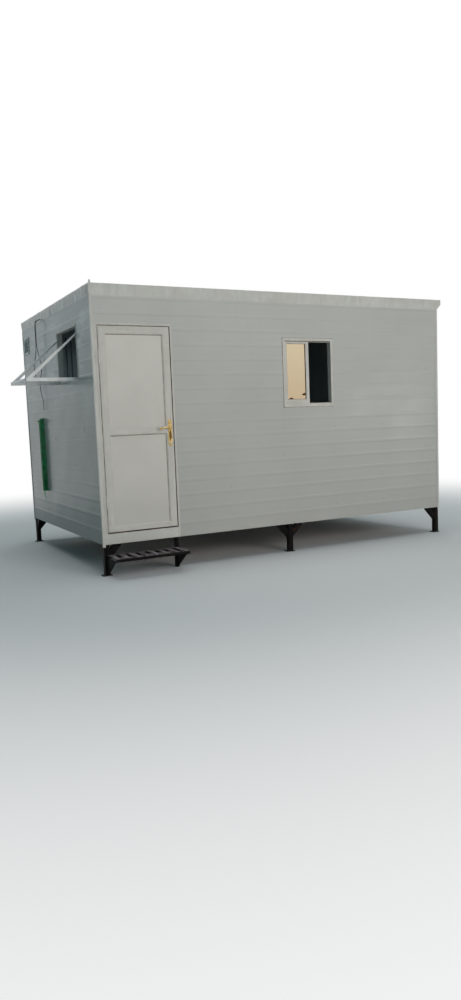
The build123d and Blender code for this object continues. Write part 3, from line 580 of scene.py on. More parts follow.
def domes(places, radius, height, side="front", base=0.0, turns=8, rings=3):
    """Round heads at places on a face: a quarter ellipse turned about each, with a flat back."""
    turn = np.arange(turns) / turns * 2 * np.pi
    rise = np.arange(rings) / rings * np.pi / 2
    ring = radius * np.cos(rise)[:, None]
    across = np.append(ring * np.cos(turn), [0, 0])
    up = np.append(ring * np.sin(turn), [0, 0])
    out = np.append(np.repeat(height * np.sin(rise), turns), [height, 0])
    places = np.asarray(places, float)
    points = outward(places[:, :1] + across, places[:, 1:2] + up, base + out, side)
    starts = np.arange(len(places))[:, None, None] * len(across)
    step = np.arange(turns)
    following = np.roll(step, -1)
    last = (rings - 1) * turns
    top = np.stack([last + step, last + following, np.full(turns, rings * turns)], axis=1)
    foot = np.stack([following, step, np.full(turns, rings * turns + 1)], axis=1)
    walls = quads_of(rings, turns, round_columns=True)
    return points, [(starts + group).reshape(-1, group.shape[1]) for group in (walls, top, foot)]


def grid_of(first, second):
    """Every pair of a value from the first list with one from the second."""
    return np.stack(np.meshgrid(first, second), axis=-1).reshape(-1, 2)


screw_paint = mottled("painted_over_zinc_screw_heads", "#A2A09A", "#7E766A", (300, 0.5, 0.7), (3,),
                      0.2, Roughness=0.4)
screw_room = 40
screw_rows = np.concatenate([
    np.arange(wall_base + lower_first + screw_room, lap_height - 60, 2 * bead_pitch),
    np.arange(lap_height + upper_first + screw_room, wall_top - 60, 2 * bead_pitch)])
studs = np.arange(first_stud, body_length, stud_pitch)
end_studs = np.arange(first_stud, body_width, stud_pitch)
blocked = {"front": [doorway, window_hole], "left": left_openings}
for side, columns in (("front", studs), ("left", end_studs), ("right", end_studs), ("back", studs)):
    places = grid_of(columns, screw_rows)
    for left, right, foot, head in blocked.get(side, []):
        along, up = places.T
        taken = ((along > left - screw_room) & (along < right + screw_room)
                 & (up > foot - screw_room) & (up < head + screw_room))
        places = places[~taken]
    build(side + "_sheet_screws", [domes(places, 5.5, 3.6, side, -1.7)], screw_paint)

# Corner trims. Folded angles of the same coated sheet, pop-riveted over the sheets' edges. Above
# the walls the same finish carries painted reflections of the flashings' dents, pale and dark
# patches, most of them at the near left corner.
trim_coat = new_finish("coated_folded_sheet", Roughness=0.3, Specular_IOR_Level=0.25)
wall_head, wall_left = wall_top / 1000, near_left_corner[0]
trim_high = graded(trim_coat, "Z", wall_head, wall_head + 0.02)
trim_left = graded(trim_coat, "X", wall_left, wall_left + 0.05, 1, 0.3)
feed(trim_coat, "#C5C5BF", ("#BABAB4", patches(trim_coat, 260, 0.3, 0.7, 5)),
     # Pale and dark patches above the walls: painted reflections of the flashings' dents.
     ("#DFE1DE", trim_high, trim_left, patches(trim_coat, 75, 0.5, 0.66, 3, (1, 1, 0.3)), 0.7),
     ("#8F918D", trim_high, trim_left, patches(trim_coat, 110, 0.52, 0.7, 4, (1, 1, 0.3)), 0.4),
     ("#8F897E", patches(trim_coat, 70, 0.6, 0.85, 6, (1, 1, 0.3)), 0.4),
     height=patches(trim_coat, 12, 0.2, 0.8, 2), relief=0.05)
eased_copy("corner_trims", "corner_trims_folded", trim_coat, ease=0.5)
rivet_pitch = 302
trim_rivets = np.arange(wall_base + 60, wall_top - 20, rivet_pitch)
trim_middle = 13
for side, far in (("front", body_length), ("back", body_length),
                  ("left", body_width), ("right", body_width)):
    places = grid_of([trim_middle, far - trim_middle], trim_rivets)
    build(side + "_trim_rivets", [domes(places, 3.6, 1.5, side, 1.4)], screw_paint)

# Roof. Ribbed coated sheet behind folded edge flashings. The flashings are long thin folds, lapped
# every metre and a half, riveted all along, and dented between the rivets.
flashing_height = 121
flashing_proud = 6
end_flashing_proud = 60
flashing_slant = 65
dent_step = 34


def wandering(points):
    """Small dents that push a flashing's outer skin inwards, from waves along and up it."""
    along = points[:, 0] + points[:, 1]
    up = points[:, 2] - wall_top
    waves = np.sin(along / 31 + 1.3 * np.sin(along / 190)) * np.sin(up / 40 + along / 143)
    dent = 0.5 + 0.25 * waves + 0.25 * np.sin(along / 73 - up / 29)
    middle = np.array([body_length, body_width]) / 2
    from_middle = points[:, :2] - middle
    inward = np.where(np.abs(from_middle) > middle + 0.5, -np.sign(from_middle), 0)
    sag = np.where((up > 90) & (up < flashing_height + 1), -0.6 * dent, 0)
    return np.c_[inward * (4.6, 3.2) * (np.clip(up / 12, 0, 1) * dent)[:, None], sag]


levels = [(2, wall_top + level) for level in (14, 34, 50, 80, 100)]
for part, name, axis, cuts in (
    ("long_fascias", "long_flashings_folded", 0, np.arange(40, body_length, dent_step)),
    ("end_fascias", "end_flashings_folded", 1, np.arange(90, body_width - 60, dent_step)),
):
    eased_copy(part, name, trim_coat, ease=0.9, shift=wandering,
               stations=levels + [(axis, at) for at in cuts])


def lap_plate(middle, half, side, proud):
    """A flashing's lap: a plate over the joint that follows its slant and face, a millimetre up."""
    along = middle + np.linspace(-half, half, 5)
    up = np.array([3, 20, 42, flashing_slant, 90, flashing_height - 1.5])
    out = np.interp(up, [0, flashing_slant], [0, proud - 0.9])
    across, height = np.meshgrid(along, up)
    front = outward(across, height + wall_top, out[:, None] + 0.9, side)
    back = outward(across, height + wall_top, out[:, None] - 3.2, side)
    return thick(front, back, quads_of(len(up), len(along)))


laps = {"front": [1480, 2960], "back": [1480, 2960], "left": [1483], "right": [1483]}
rivet_rise = 46
for side, middles in laps.items():
    proud = end_flashing_proud if side == "right" else flashing_proud
    far = body_width if side in ("left", "right") else body_length
    along = [np.arange(70, far - 40, rivet_pitch), np.array(middles) - 14, np.array(middles) + 14]
    rivets = grid_of(np.concatenate(along), [wall_top + rivet_rise])
    rivet_base = proud * rivet_rise / flashing_slant - 2.6
    build(side + "_flashing_laps", [lap_plate(middle, 26, side, proud) for middle in middles],
          trim_coat, sharp=30)
    build(side + "_flashing_rivets", [domes(rivets, 4, 4.2, side, rivet_base)], screw_paint)

roof_coat = new_finish("dusty_coated_roof_sheet", Roughness=0.45)
roof_dust = patches(roof_coat, 260, 0.3, 0.7, 7, (1, 0.35, 1))
feed(roof_coat, "#BABBB6", ("#9A8F7D", upward(roof_coat), roof_dust),
     height=patches(roof_coat, 8, 0.2, 0.8))
eased_copy("roof_sheet", "roof_sheet_ribbed", roof_coat, ease=0.8)
roof_low, roof_high = span("roof_sheet")
rib_pitch = 200
roof_screws = grid_of(np.arange(roof_low[0] + 140, roof_high[0] - 60, rib_pitch),
                      np.arange(260, body_width - 200, 600))
washers = domes(roof_screws, 9, 2.5, "top", roof_high[2] - 1)
heads = domes(roof_screws, 5, 8, "top", roof_high[2] - 1, 6)
build("roof_screws", [washers, heads], screw_paint)

# Door frame and leaf. Extruded aluminium sections, powder coated white, with flat coated panels
# held by mitred glazing beads. The running gap is closed by a brown pile seal, with strips of
# painted shade along it, dark at the right side and the foot and paler at the left side and the
# head. Painted shadow lines run along each panel's head and right side.
powder = new_finish("white_powder_coated_aluminium", Roughness=0.38)
feed(powder, "#C5C3BC", ("#BBB9B2", patches(powder, 180, 0.3, 0.7, 6)),
     ("#8C8070", patches(powder, 40, 0.6, 0.85, 6, (1, 1, 0.4)), 0.35),
     height=patches(powder, 4, 0.2, 0.8, 2), relief=0.03)
flat_coat = new_finish("coated_flat_door_sheet", Roughness=0.34)
feed(flat_coat, "#CCC9C2", ("#C3C0B9", patches(flat_coat, 420, 0.3, 0.7, 4)),
     ("#B3B2AB", graded(flat_coat, "Z", 2.4, 0.5), 0.4),
     height=patches(flat_coat, 60, 0.2, 0.8, 2), relief=0.1)


def mitred(rect, profile, side="front", cuts=1, wobble=0.0):
    """A frame: a closed profile of insets and heights, carried round a rectangle with mitres. It
    may wobble by a sum of two waves along its run, as a line of sealant or weld does."""
    left, right, foot, head = rect
    corners = np.array([(left, foot, 1, 1), (right, foot, -1, 1),
                        (right, head, -1, -1), (left, head, 1, -1)], float)
    share = np.arange(cuts)[None, :, None] / cuts
    following = np.roll(corners, -1, axis=0)
    runs = (corners[:, None] * (1 - share) + following[:, None] * share).reshape(-1, 4)
    inset, proud = np.array(profile, float).T
    step = np.arange(len(runs))[:, None]
    wave = wobble * (0.6 * np.sin(step * 1.9) + 0.4 * np.sin(step * 0.83 + 2))
    middle = inset.mean()
    inset = middle + (inset - middle) * (1 + wave)
    along = runs[:, 0:1] + runs[:, 2:3] * inset
    up = runs[:, 1:2] + runs[:, 3:4] * inset
    faces = quads_of(len(runs), len(proud), round_rows=True, round_columns=True)
    return outward(along, up, proud * (1 + 0.5 * wave), side), [faces]


def capped(rings, turns):
    """Faces of a closed bar: quads between its rings, and one face over its first and last ring."""
    last = (rings - 1) * turns + np.arange(turns)
    return [quads_of(rings, turns, round_columns=True), np.arange(turns)[None, ::-1], last[None]]


def block(low, high):
    """A closed block between two corners."""
    corner = np.array([(x, y, z) for x in (0, 1) for y in (0, 1) for z in (0, 1)])
    faces = np.array([(0, 1, 3, 2), (4, 6, 7, 5), (0, 4, 5, 1),
                      (2, 3, 7, 6), (0, 2, 6, 4), (1, 5, 7, 3)])
    return np.where(corner, high, low), [faces]


eased_copy("door_frame", "door_frame_profiles", powder, ease=1.5)
eased_copy("door_stops", "door_stop_strips", powder, ease=1.0)
eased_copy("door_threshold", "door_threshold_apron", trim_coat, ease=1.2)
eased_copy("door_leaf", "door_leaf_profiles", powder, body="door", ease=1.8)

leaf_low, leaf_high = span("door_leaf")
running_gap = 5
# The dark finish serves both the real seal and dark strips of painted shade; the paler finish only
# paints softer shade.
pile_seal_and_painted_shade = mottled("brown_black_pile_seal_and_painted_shade", "#2C221A", "#665545", (190,), (2.5,), Roughness=0.9)
painted_soft_shade = mottled("painted_soft_shade_in_joints", "#7D766C", "#A59F96", (120,), (5,), Roughness=0.9)
seal_front, seal_back, seal_skin = 2.5, 35, 1.6
left_face, right_face = leaf_low[0] - running_gap, leaf_high[0] + running_gap
foot_face, head_face = leaf_low[2] - running_gap, leaf_high[2] + running_gap
# Four strips lie inside the gap as its seal; the two in front of the frame at the right side and
# the foot are painted shade.
build("door_gap_seal_and_painted_shade", [
    block((left_face, seal_front + 4, foot_face), (left_face + seal_skin, seal_back, head_face)),
    block((right_face - seal_skin, seal_front, foot_face), (right_face, seal_back, head_face)),
    block((left_face, seal_front, head_face - seal_skin), (right_face, seal_back, head_face)),
    block((left_face, seal_front, foot_face), (right_face, seal_back, foot_face + seal_skin)),
    block((right_face - 1.2, -0.9, foot_face), (right_face + 5, 2, head_face - 1.2)),
    block((left_face - 4, -1.4, foot_face - 9), (right_face + 3, 2, foot_face + 1.4)),
], pile_seal_and_painted_shade)
# Paler strips of painted shade at the left side and the head of the gap.
build("door_gap_painted_shade", [
    block((left_face - 6, -1.8, foot_face), (left_face + 2, 2, head_face + 5)),
    block((left_face - 5, -0.9, head_face - 1.2), (right_face + 5, 2, head_face + 5)),
], painted_soft_shade)


def slab(across, front, back, up):
    """A closed sheet over a grid of places, its depth in front and at the back given at each."""
    faces = [points_of(across, depth, up) for depth in (front, back)]
    return thick(*faces, quads_of(*across.shape))


def through_leaf(shell):
    """The same shell on the leaf's inner face, mirrored through the leaf."""
    points, faces = shell
    return points * (1, -1, 1) + (0, leaf_high[1], 0), faces


bead_profile = [(0, -9), (0, -0.7), (0.8, -0.1), (2.5, -0.1), (4, -1.2), (7, -4.4), (11, -7.6),
                (12, -9)]
rebate = 9
bead_inset, head_width, side_width = 11, 4.5, 8
for part in ("door_panel_lower", "door_panel_upper"):
    low, high = span(part)
    across, up = np.meshgrid(np.linspace(low[0], high[0], 34), np.linspace(low[2], high[2], 52))
    edge = np.minimum(np.minimum(across - low[0], high[0] - across),
                      np.minimum(up - low[2], high[2] - up))
    pillow = np.sin(across / 131 + up / 213) * np.sin(up / 97 - across / 171)
    pillow = 0.5 * np.clip(edge / 60, 0, 1) * pillow
    sheet = slab(across, low[1] + 0.6 + pillow, high[1] - 0.6 + pillow, up)
    build(part + "_sheet", [sheet], flat_coat, "door", [part])
    beads = mitred(opening(low, high, rebate), bead_profile)
    build(part + "_glazing_beads", [beads, through_leaf(beads)], powder, "door",
          sharp=30)
    left, right, foot, head = opening(low, high, rebate + bead_inset)
    # Painted shadow lines: a dark strip under each panel's head and a paler one along its right
    # side, where the rails and the bead's slope shade it.
    build(part + "_head_painted_shadow", [
        block((left, low[1] - 0.6, head - head_width), (right, low[1] + 0.8, head)),
    ], pile_seal_and_painted_shade, "door")
    build(part + "_side_painted_shadow", [
        block((right - side_width, low[1] - 0.5, foot), (right, low[1] + 0.8, head - head_width)),
    ], painted_soft_shade, "door")
frame_lip = [(-21, 0), (-21, 1.6), (-19, 2.6), (-16, 2.6), (-14.5, 1.2), (-9, 1.2), (-7, 2.4),
             (-5, 2.2), (-5, 0)]
lip_points = mitred((left_face, right_face, foot_face + 21, head_face), frame_lip)[0]
lips = np.roll(lip_points, -len(frame_lip), axis=0), capped(4, len(frame_lip))
build("door_frame_lips", [lips], powder, sharp=30)

# Hinges. Steel barrel hinges, welded on and painted over with the frame, with turned end caps and
# countersunk screws through the leaf's plates.
eased_copy("hinge_frame_halves", "hinge_frame_leaves", powder, ease=0.6)
eased_copy("hinge_door_halves", "hinge_door_leaves", powder, body="door", ease=0.6)
hinge_low, hinge_high = span("hinge_frame_halves")
hinge_half = 55
hinge_centres = [hinge_low[2] + hinge_half, hinge_high[2] - hinge_half]
hinge_x, hinge_out = 61, 9


def lathe(profile, centre, turns=16, axis="z"):
    """A turned shape: a profile of radii and lengths carried round an axis through a centre."""
    radius, length = np.array(profile, float).T
    turn = np.arange(turns) / turns * 2 * np.pi
    one, two = radius[:, None] * np.cos(turn), radius[:, None] * np.sin(turn)
    order = {"z": (one, two, length[:, None]), "y": (one, length[:, None], two)}[axis]
    return points_of(*order) + centre, capped(len(radius), turns)


cap_profile = [(7.2, 0), (7.6, 1.5), (7.2, 3), (4.5, 4), (5.4, 6.5), (4.6, 9), (2.2, 10.8),
               (0.4, 11.3)]
caps = []
for middle in hinge_centres:
    for end in (1, -1):
        profile = [(radius, end * length) for radius, length in cap_profile]
        caps.append(lathe(profile, (hinge_x, -hinge_out, middle + end * hinge_half)))
build("hinge_caps", caps, powder, sharp=50)
screw_heights = [middle + rise for middle in hinge_centres for rise in (-42, -14, 14, 42)]
hinge_screws = domes(grid_of([hinge_x + 22], screw_heights), 4, 1.2, "front", 2.4)
build("hinge_screws", [hinge_screws], screw_paint, "door")

# Handle set. Die-cast plates with arched ends and scalloped relief, curved levers and a lock
# cylinder. The castings have a lacquered brass plating that looks yellow gold, tarnished brown in
# the hollows, with a painted dark reflection over the sunk middle of the plate.
handle_x = 785
lever_height = 1470
plate_low, plate_high = 1276, 1556
plate_middle = (plate_low + plate_high) / 2
plate_half = (plate_high - plate_low) / 2
brass = new_finish("lacquered_brass_plating", Metallic=1.0, Roughness=0.25)
# A dark reflection is painted over the plate's sunk middle, and it joins the tarnish patches.
painted_reflection_well = spot(brass, (handle_x, 0, plate_middle - 24), (14.29, 55.56, 58.82), 1.15, 0.75)
tarnish_and_painted_reflection = node(brass, "Math", {0: patches(brass, 11, 0.42, 0.7, 5), 1: painted_reflection_well},
                     operation="MAXIMUM")
feed(brass, "#DCBE7E", ("#6B5230", tarnish_and_painted_reflection), roughness=(tarnish_and_painted_reflection, 0.2, 0.45),
     height=patches(brass, 3, 0.2, 0.8, 2), relief=0.05)


def plate_relief(up, across):
    """Half width and relief of a handle plate: arched ends with a waist below each arch, a raised
    rim, a sunk middle and scallops fanned over both ends."""
    far = np.abs(up)
    arch = np.sqrt(np.clip(1 - (np.clip(far - 98, 0, None) / 42.5) ** 2, 0.02, 1))
    half = 23 * arch * (1 - 0.2 * np.exp(-((far - 99) / 5) ** 2))
    rim = np.clip((1 - np.abs(across)) * half / 3.5, 0, 1)
    well = np.clip((0.56 - np.abs(across)) * 14, 0, 1) * np.clip((56 - np.abs(up + 26)) / 5, 0, 1)
    fan = np.clip((far - 70) / 12, 0, 1) * np.clip((1 - np.abs(across)) * 3, 0, 1)
    scallop = 0.9 * fan * np.sin(far / 3.6 + 2.2 * np.abs(across) ** 2 * 3)
    rib = 0.5 * np.sin(across * 9) * np.clip(1 - np.abs(far - 62) / 8, 0, 1)
    return half, 2.4 + 3.0 * rim * (2 - rim) + scallop + rib - 2.2 * well


up, across = np.meshgrid(np.linspace(-1, 1, 120) * (plate_half - 0.5), np.linspace(-1, 1, 21),
                         indexing="ij")
half, relief = plate_relief(up, across)
plate = slab(handle_x + across * half, -relief, 0, plate_middle + up)
build("handle_plates_cast", [plate, through_leaf(plate)], brass, "door",
      ["handle_plates"], sharp=35)

nickel = mottled("satin_nickel_lock_cylinder", "#D9D6CC", "#B5AFA2", (8,), (2,), 0.04,
                 Metallic=1.0, Roughness=0.3)
slot_finish = mottled("dark_key_slot", "#0C0A08", "#1E1812", (3,), Roughness=0.8)
cylinder_z = lever_height - 158
barrel = [(9, 0), (11.6, -5), (11.8, -12), (10.8, -15), (8.4, -16.4), (8.2, -15.4), (0.5, -15.2)]
cylinder = lathe(barrel, (handle_x, 0, cylinder_z), 24, "y")
key_slot = block((handle_x - 1.2, -15.6, cylinder_z - 5), (handle_x + 1.2, -14.8, cylinder_z + 5))
build("lock_cylinders", [cylinder, through_leaf(cylinder)], nickel, "door",
      sharp=35)
build("key_slots", [key_slot, through_leaf(key_slot)], slot_finish, "door")
plate_screws = [(handle_x, plate_middle + rise) for rise in (-124, 124, -72)]
build("handle_plate_screws", [domes(plate_screws, 4, 1.6, "front", 4.6, 10)], brass,
      "door")


def smoothed(points, times=3):
    """A line with its corners cut at a quarter and three quarters of each run, again and again."""
    for _ in range(times):
        before, after = points[:-1], points[1:]
        cut = np.stack([0.75 * before + 0.25 * after, 0.25 * before + 0.75 * after], axis=1)
        points = np.concatenate([points[:1], cut.reshape(-1, points.shape[1]), points[-1:]])
    return points


def swept(path, width, height, turns=16, lift=(0, 0, 1)):
    """A bar of oval section along a path: rings square to its run, wide along one side and high
    towards the other, closed at both ends."""
    width, height = [np.broadcast_to(size, len(path))[:, None, None] for size in (width, height)]
    run = np.gradient(path, axis=0)
    run = run / np.linalg.norm(run, axis=1, keepdims=True)
    side = np.cross(run, lift)
    side = side / np.linalg.norm(side, axis=1, keepdims=True)
    rise = np.cross(side, run)
    turn = np.arange(turns) / turns * 2 * np.pi
    ring = (side[:, None] * width * np.cos(turn)[None, :, None]
            + rise[:, None] * height * np.sin(turn)[None, :, None])
    return (path[:, None] + ring).reshape(-1, 3), capped(len(path), turns)


lever_line = smoothed(np.array([
    (0, -8, 0, 7.5, 7.5), (0, -30, 0, 7, 7), (0, -45, 0, 8, 8), (-22, -46, 1, 7, 9),
    (-52, -46, 1, 6, 8.5), (-84, -46, -5, 6.5, 8), (-104, -46, -15, 7, 8), (-120, -46, -17, 7, 7),
    (-127, -46, -7, 6.5, 6), (-122, -46, 2, 6, 5.5), (-113, -46, 1, 5, 4.5), (-110, -46, -6, 4, 4),
    (-114, -46, -9, 1, 1)], float))
grip_line = lever_line[:, :3] + (handle_x, 0, lever_height)
grip = swept(grip_line, lever_line[:, 3], lever_line[:, 4], lift=(0.3, 0.2, 1))
rose_profile = [(16.8, -6.4), (17, -8), (15.5, -10.5), (16, -11.5), (13, -13.2), (9.5, -14),
                (9, -17), (1, -17)]
rose = lathe(rose_profile, (handle_x, 0, lever_height), 28, "y")
spindle = lathe([(5, 0), (5, leaf_high[1] + 20)], (handle_x, -10, lever_height), 12, "y")
build("door_lever_cast", [grip, rose, through_leaf(grip), through_leaf(rose), spindle], brass,
      "lever", ["door_lever"], sharp=40)

# Window. White powder-coated sliding sashes with reflecting bronze glass in bleached rubber
# gaskets, in a frame flanged over the outer sheet and sealed round with silicone that has picked up
# dust. The glass is paler towards its head and has two smears of dried mud.
for part in ("window_frame", "window_sash_outer", "window_sash_inner"):
    eased_copy(part, part + "_profiles", powder, ease=1.0)
outer_rect = opening(window_low, window_high)
flange_lip = [(0.6, 4), (0.6, 6.4), (3, 6.8), (5, 5.2), (18, 5.2), (20, 6.6), (26, 6.6), (27.6, 4)]
build("window_frame_lips", [mitred(outer_rect, flange_lip)], powder, sharp=30)
silicone = mottled("dusty_silicone_sealant", "#B4B2AA", "#6F675C", (60, 0.35, 0.65, 6), (5,),
                   Roughness=0.6)
sealant_profile = [(-5, -1.5), (-4.4, 0.6), (-2.4, 2.6), (-0.4, 3.8), (0.6, 3.4), (0.6, -1.5)]
build("window_sealant", [mitred(outer_rect, sealant_profile, cuts=40, wobble=0.35)], silicone)
gasket = mottled("bleached_epdm_glazing_gasket", "#4E4236", "#756655", (30, 0.4, 0.7), (4,),
                 Roughness=0.6)
glazing = new_finish("bronze_reflecting_float_glass", Metallic=0.85, Roughness=0.04)
smears = [spot(glazing, middle, reach, 1.3, 0.5)
          for middle, reach in (((2466, 17, 1779), (34, 60, 13)), ((2288, 17, 1735), (28, 60, 9)))]
smear = node(glazing, "Math", {0: smears[0], 1: smears[1]}, operation="MAXIMUM")
ragged = node(glazing, "Math", {0: smear, 1: patches(glazing, 16, 0.3, 0.7, 5)}, operation="ADD")
ragged = node(glazing, "MapRange", {0: ragged, 1: 0.75, 2: 1.05})
inner_smear = node(glazing, "MapRange", {0: smear, 1: 0.0, 2: 0.2})
mud = node(glazing, "Math", {0: ragged, 1: inner_smear}, operation="MULTIPLY")
feed(glazing, "#D2C2A3", ("#C4AF90", graded(glazing, "Z", 2.35, 1.7)), ("#4A3220", mud),
     roughness=(mud, 0.04, 0.7))
sash_stile, meeting_stile, sash_foot = 30, 42, 54
glass_lap = 7
glass_half = 2.4
panes, gaskets = [], []
for sash in ("window_sash_outer", "window_sash_inner"):
    low, high = span(sash)
    middle = (low[1] + high[1]) / 2
    light = (low[0] + sash_stile, high[0] - meeting_stile, low[2] + sash_foot, high[2] - sash_stile)
    across, up = np.meshgrid(np.linspace(light[0] - glass_lap, light[1] + glass_lap, 16),
                             np.linspace(light[2] - glass_lap, light[3] + glass_lap, 30))
    depth = middle + 0.05 * np.sin(across / 140 + 0.4) * np.sin(up / 210)
    panes.append(slab(across, depth - glass_half, depth + glass_half, up))
    for face in (1, -1):
        glass_out = -middle + face * 2.5
        rubber = [(-0.5, 0), (-0.5, 4), (2.5, 3.4), (4.2, 0.5), (4.2, 0)]
        rubber = [(inset, glass_out + face * rise) for inset, rise in rubber]
        gaskets.append(mitred(light, rubber, cuts=12, wobble=0.12))
outer_low, outer_high = span("window_sash_outer")
left, right, _, head = opening(window_low, window_high, 28)
meeting_edge = outer_high[0] - meeting_stile
# The strip under the frame's head is painted shadow; the strip along the meeting stile is the
# sashes' pile seal.
build("window_pile_seal_and_painted_shadow", [
    block((left, 2, head - 7), (right, outer_low[1] - 0.4, head)),
    block((meeting_edge - 4, outer_low[1] - 1, outer_low[2] + sash_foot),
          (meeting_edge + 1, outer_low[1] + 2, outer_high[2] - sash_stile)),
], pile_seal_and_painted_shade)
build("window_panes", panes, glazing, stands_for=["window_glass"])
build("window_gaskets", gaskets, gasket, sharp=30)

# Opening and shelf for the air conditioner. A folded sheet lining with a pop-riveted flange, and a
# shelf of angles and flat ties, stick-welded and brushed with white gloss paint, chipped to rust.
eased_copy("ac_opening_frame", "ac_opening_frame_folded", trim_coat, ease=0.6)
ac_rect = opening(ac_low, ac_high, axis=1)
ac_lip = [(0.5, 2), (0.5, 4.2), (2, 4.6), (3.5, 3.2), (11, 3.2), (12.5, 4.4), (13.6, 4), (13.6, 2)]
build("ac_flange_lips", [mitred(ac_rect, ac_lip, "left")], trim_coat, sharp=30)
left, right, foot, head = opening(ac_low, ac_high, 7, 1)
ac_rivets = np.concatenate([
    grid_of(np.linspace(left, right, 5), [head]),
    grid_of([left, right], np.linspace(foot + 83, head - 83, 3))])
build("ac_flange_rivets", [domes(ac_rivets, 3.6, 1.6, "left", 3)], screw_paint)
ac_seal = [(-4, -1.5), (-3, 1.2), (-0.5, 2.8), (0.6, 2.6), (0.6, -1.5)]
build("ac_sealant", [mitred(ac_rect, ac_seal, "left", 40, 0.35)], silicone)
shelf_paint = new_finish("white_gloss_paint_on_angle_steel", Roughness=0.35)
feed(shelf_paint, "#E2E5E4", ("#CDCFCB", patches(shelf_paint, 90, 0.4, 0.8)),
     ("#7A4A30", patches(shelf_paint, 18, 0.66, 0.72, 6)),
     height=patches(shelf_paint, 7, 0.2, 0.8), relief=0.2)
for part in ("ac_shelf_rails", "ac_shelf_front_bar", "ac_shelf_ties"):
    eased_copy(part, part + "_welded", shelf_paint, ease=0.8)


def weld(start, end, radius=3.0, turns=8):
    """A weld bead: a round bar between two points whose radius swells at every ripple."""
    start, end = np.array(start, float), np.array(end, float)
    length = np.linalg.norm(end - start)
    share = np.linspace(0, 1, max(int(length / 1.6), 6))
    tapered = np.minimum(1, 8 * np.minimum(share, 1 - share) + 0.15)
    size = radius * (0.82 + 0.16 * np.sin(share * length / 3.2 * 2 * np.pi)) * tapered
    lift = (0.31, 0.45, 0.84) if abs((end - start)[2]) < length * 0.8 else (1, 0.2, 0)
    return swept(start + share[:, None] * (end - start), size, size, turns, lift)


rail_low, rail_high = span("ac_shelf_rails")
tie_top = span("ac_shelf_ties")[1][2]
shelf_runs = [
    ((rail_low[0] + 1, 35.2, rail_high[2] - 4), (rail_low[0] + 34, 35.2, rail_high[2] - 1), 2.4),
    ((rail_low[0] + 2, -1, rail_low[2] + 3), (rail_low[0] + 24, -1, rail_low[2] + 24), 2.2),
    ((-4.5, 1, rail_low[2] + 1), (-4.5, 1, rail_high[2] - 1), 2.6),
    ((-4.5, -1, tie_top - 26), (-4.5, -1, tie_top - 2), 2.6),
]
shelf_welds = []
for edge, into in ((rail_low[1], 1), (rail_high[1], -1)):
    for start, end, radius in shelf_runs:
        ends = [(x, edge + into * inset, z) for x, inset, z in (start, end)]
        shelf_welds.append(weld(*ends, radius))
build("ac_shelf_welds", shelf_welds, shelf_paint)

# Louvred vent. A pressed metal frame screwed over its hole, with sloping blades.
louvre = mottled("grey_coated_louvre_metal", "#DDE2E1", "#C8CECD", (50,), (12, 0.2, 0.8),
                 Roughness=0.45)
eased_copy("wall_vent", "wall_vent_louvre", louvre, ease=0.8)
vent_lip = [(1, 8.5), (1, 10), (3, 10.8), (5, 9.4), (15, 9.4), (17, 10.6), (19, 8.5)]
vent_rect = opening(vent_low, vent_high, axis=1)
build("vent_frame_lip", [mitred(vent_rect, vent_lip, "left")], louvre, sharp=30)
left, right, foot, head = opening(vent_low, vent_high, 10, 1)
vent_screws = grid_of([left, right], [foot, head])
build("vent_screws", [domes(vent_screws, 4, 2, "left", 9)], screw_paint)

# Green trunking. A length of extruded dark green plastic channel, dusty, with ribs along its face,
# a catch at its top and a torn tail at its foot.
green = new_finish("extruded_green_plastic", Roughness=0.4)
feed(green, "#178A52", ("#0E6A3D", patches(green, 70)),
     ("#4F6B52", patches(green, 60, 0.5, 0.8, 6, (1, 1, 0.4)), 0.5),
     height=patches(green, 20, 0.2, 0.8))
eased_copy("green_trunking", "green_trunking_channel", green, ease=1.5)
trunk_low, trunk_high = span("green_trunking")
trunk_near = trunk_high[1] - 60
trunk_face = 48
rib_steps = np.arange(40)
rib_heights = np.linspace(trunk_low[2] + 3, trunk_high[2] - 50, len(rib_steps))
ribs = []
for at in (8, 19, 30, 41, 52):
    beside = trunk_near + at + 0.4 * np.sin(rib_steps / 5)
    ribs.append(swept(points_of(-trunk_face + 0.6, beside, rib_heights), 2.6, 2.0, 8, (0, 1, 0)))
build("trunking_ribs", ribs, green)
tail_points = [(6, 20, 30), (5, 16, -10), (9, 4, -50), (14, -6, -90), (10, -22, -116),
               (8, -26, -124)]
tail_line = smoothed(np.array(tail_points) + (-trunk_face, trunk_near, trunk_low[2]))
tail_share = np.linspace(0, 1, len(tail_line))
tail_width = 17 - 4 * tail_share + 2.5 * np.sin(tail_share * 23)
tail = swept(tail_line, tail_width, 1.4, 10, (1, 0.2, 0))
build("trunking_torn_tail", [tail], green)

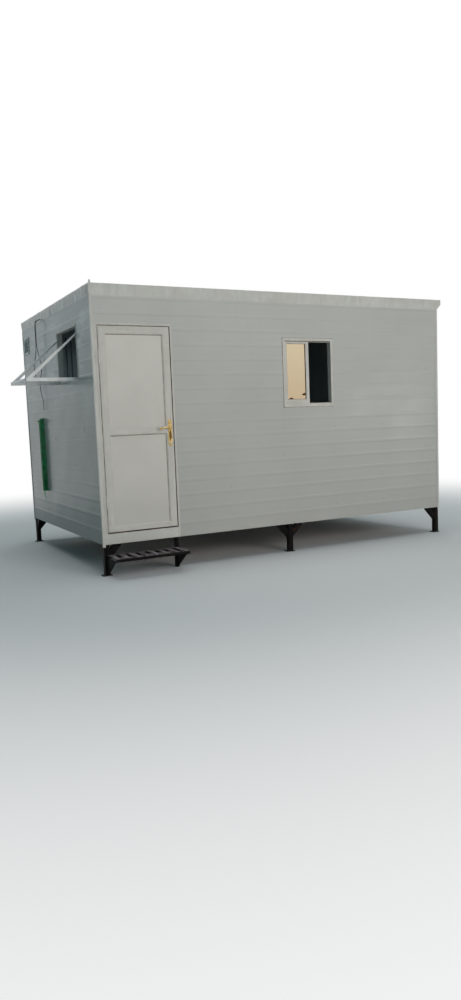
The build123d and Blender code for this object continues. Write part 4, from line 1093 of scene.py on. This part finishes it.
# Inside the room. The inner skins meet under narrow cover strips of grey PVC, pushed into the
# joints, and a dim cool lamp stands for the light that comes in.
wall_thickness = 60
inner_low = span("floor_deck")[1][2]
inner_high = span("front_wall")[1][2] - 2
cover_profile = [(-9, -0.3), (-8, 1.2), (-3, 2.2), (3, 2.2), (8, 1.2), (9, -0.3)]
cover_across, cover_out = np.array(cover_profile).T


def cover_strip(at, face, into, axis):
    """An upright strip on an inner face: its place along the axis the wall runs on, the wall's face
    and the way into the room, with a flat end at the floor and at the ceiling."""
    points = np.zeros((2, len(cover_across), 3))
    points[..., axis] = at + cover_across
    points[..., 1 - axis] = face + into * cover_out
    points[..., 2] = [[inner_low], [inner_high]]
    return points.reshape(-1, 3), capped(2, len(cover_across))


covers = [cover_strip(at, face, into, axis) for face, into, axis, places in (
    (body_width - wall_thickness, -1, 0, (560, 628, 1300, 2040, 2780, 3520)),
    (wall_thickness, 1, 1, (300, 1440, 2200)),
    (body_length - wall_thickness, -1, 1, (760, 1500, 2240)),
) for at in places]
strip = mottled("grey_pvc_cover_strip", "#7C7F80", "#5E6163", (200,), (12, 0.2, 0.8), Roughness=0.5)
build("lining_cover_strips", covers, strip, sharp=30)
room_lamp = added("room_light", bpy.data.lights.new("room_light", "AREA"))
room_lamp.data.size = 0.8
room_lamp.data.energy = 2.4
room_lamp.data.color = (0.62, 0.87, 1.0)
room_lamp.location = metres((650, 1700, 2600))

# Welds of the base. Stick-welded joints between posts, plates and slats, painted over.
post_size = 55
post_inset = 8
foot_weld = [(-4, 7.5), (-2.6, 9.6), (-1, 11.4), (0.4, 12), (0.4, 7.5)]
last_post = body_length - post_size - post_inset
base_welds = [
    mitred((x, x + post_size, y, y + post_size), foot_weld, "top", 12, 0.25)
    for x in (post_inset, (body_length - post_size) / 2, last_post)
    for y in (post_inset, body_width - post_size - post_inset)]
slat_low, slat_high = span("step_slats")
slat_width, slat_count = 56, 8
under = slat_low[2] - 1
for start in np.linspace(slat_low[0], slat_high[0] - slat_width, slat_count):
    for y in (slat_low[1] + 41, slat_high[1] - 41):
        base_welds.append(weld((start + 6, y, under), (start + slat_width - 6, y, under), 2.4, 6))
build("base_welds", base_welds, enamel)
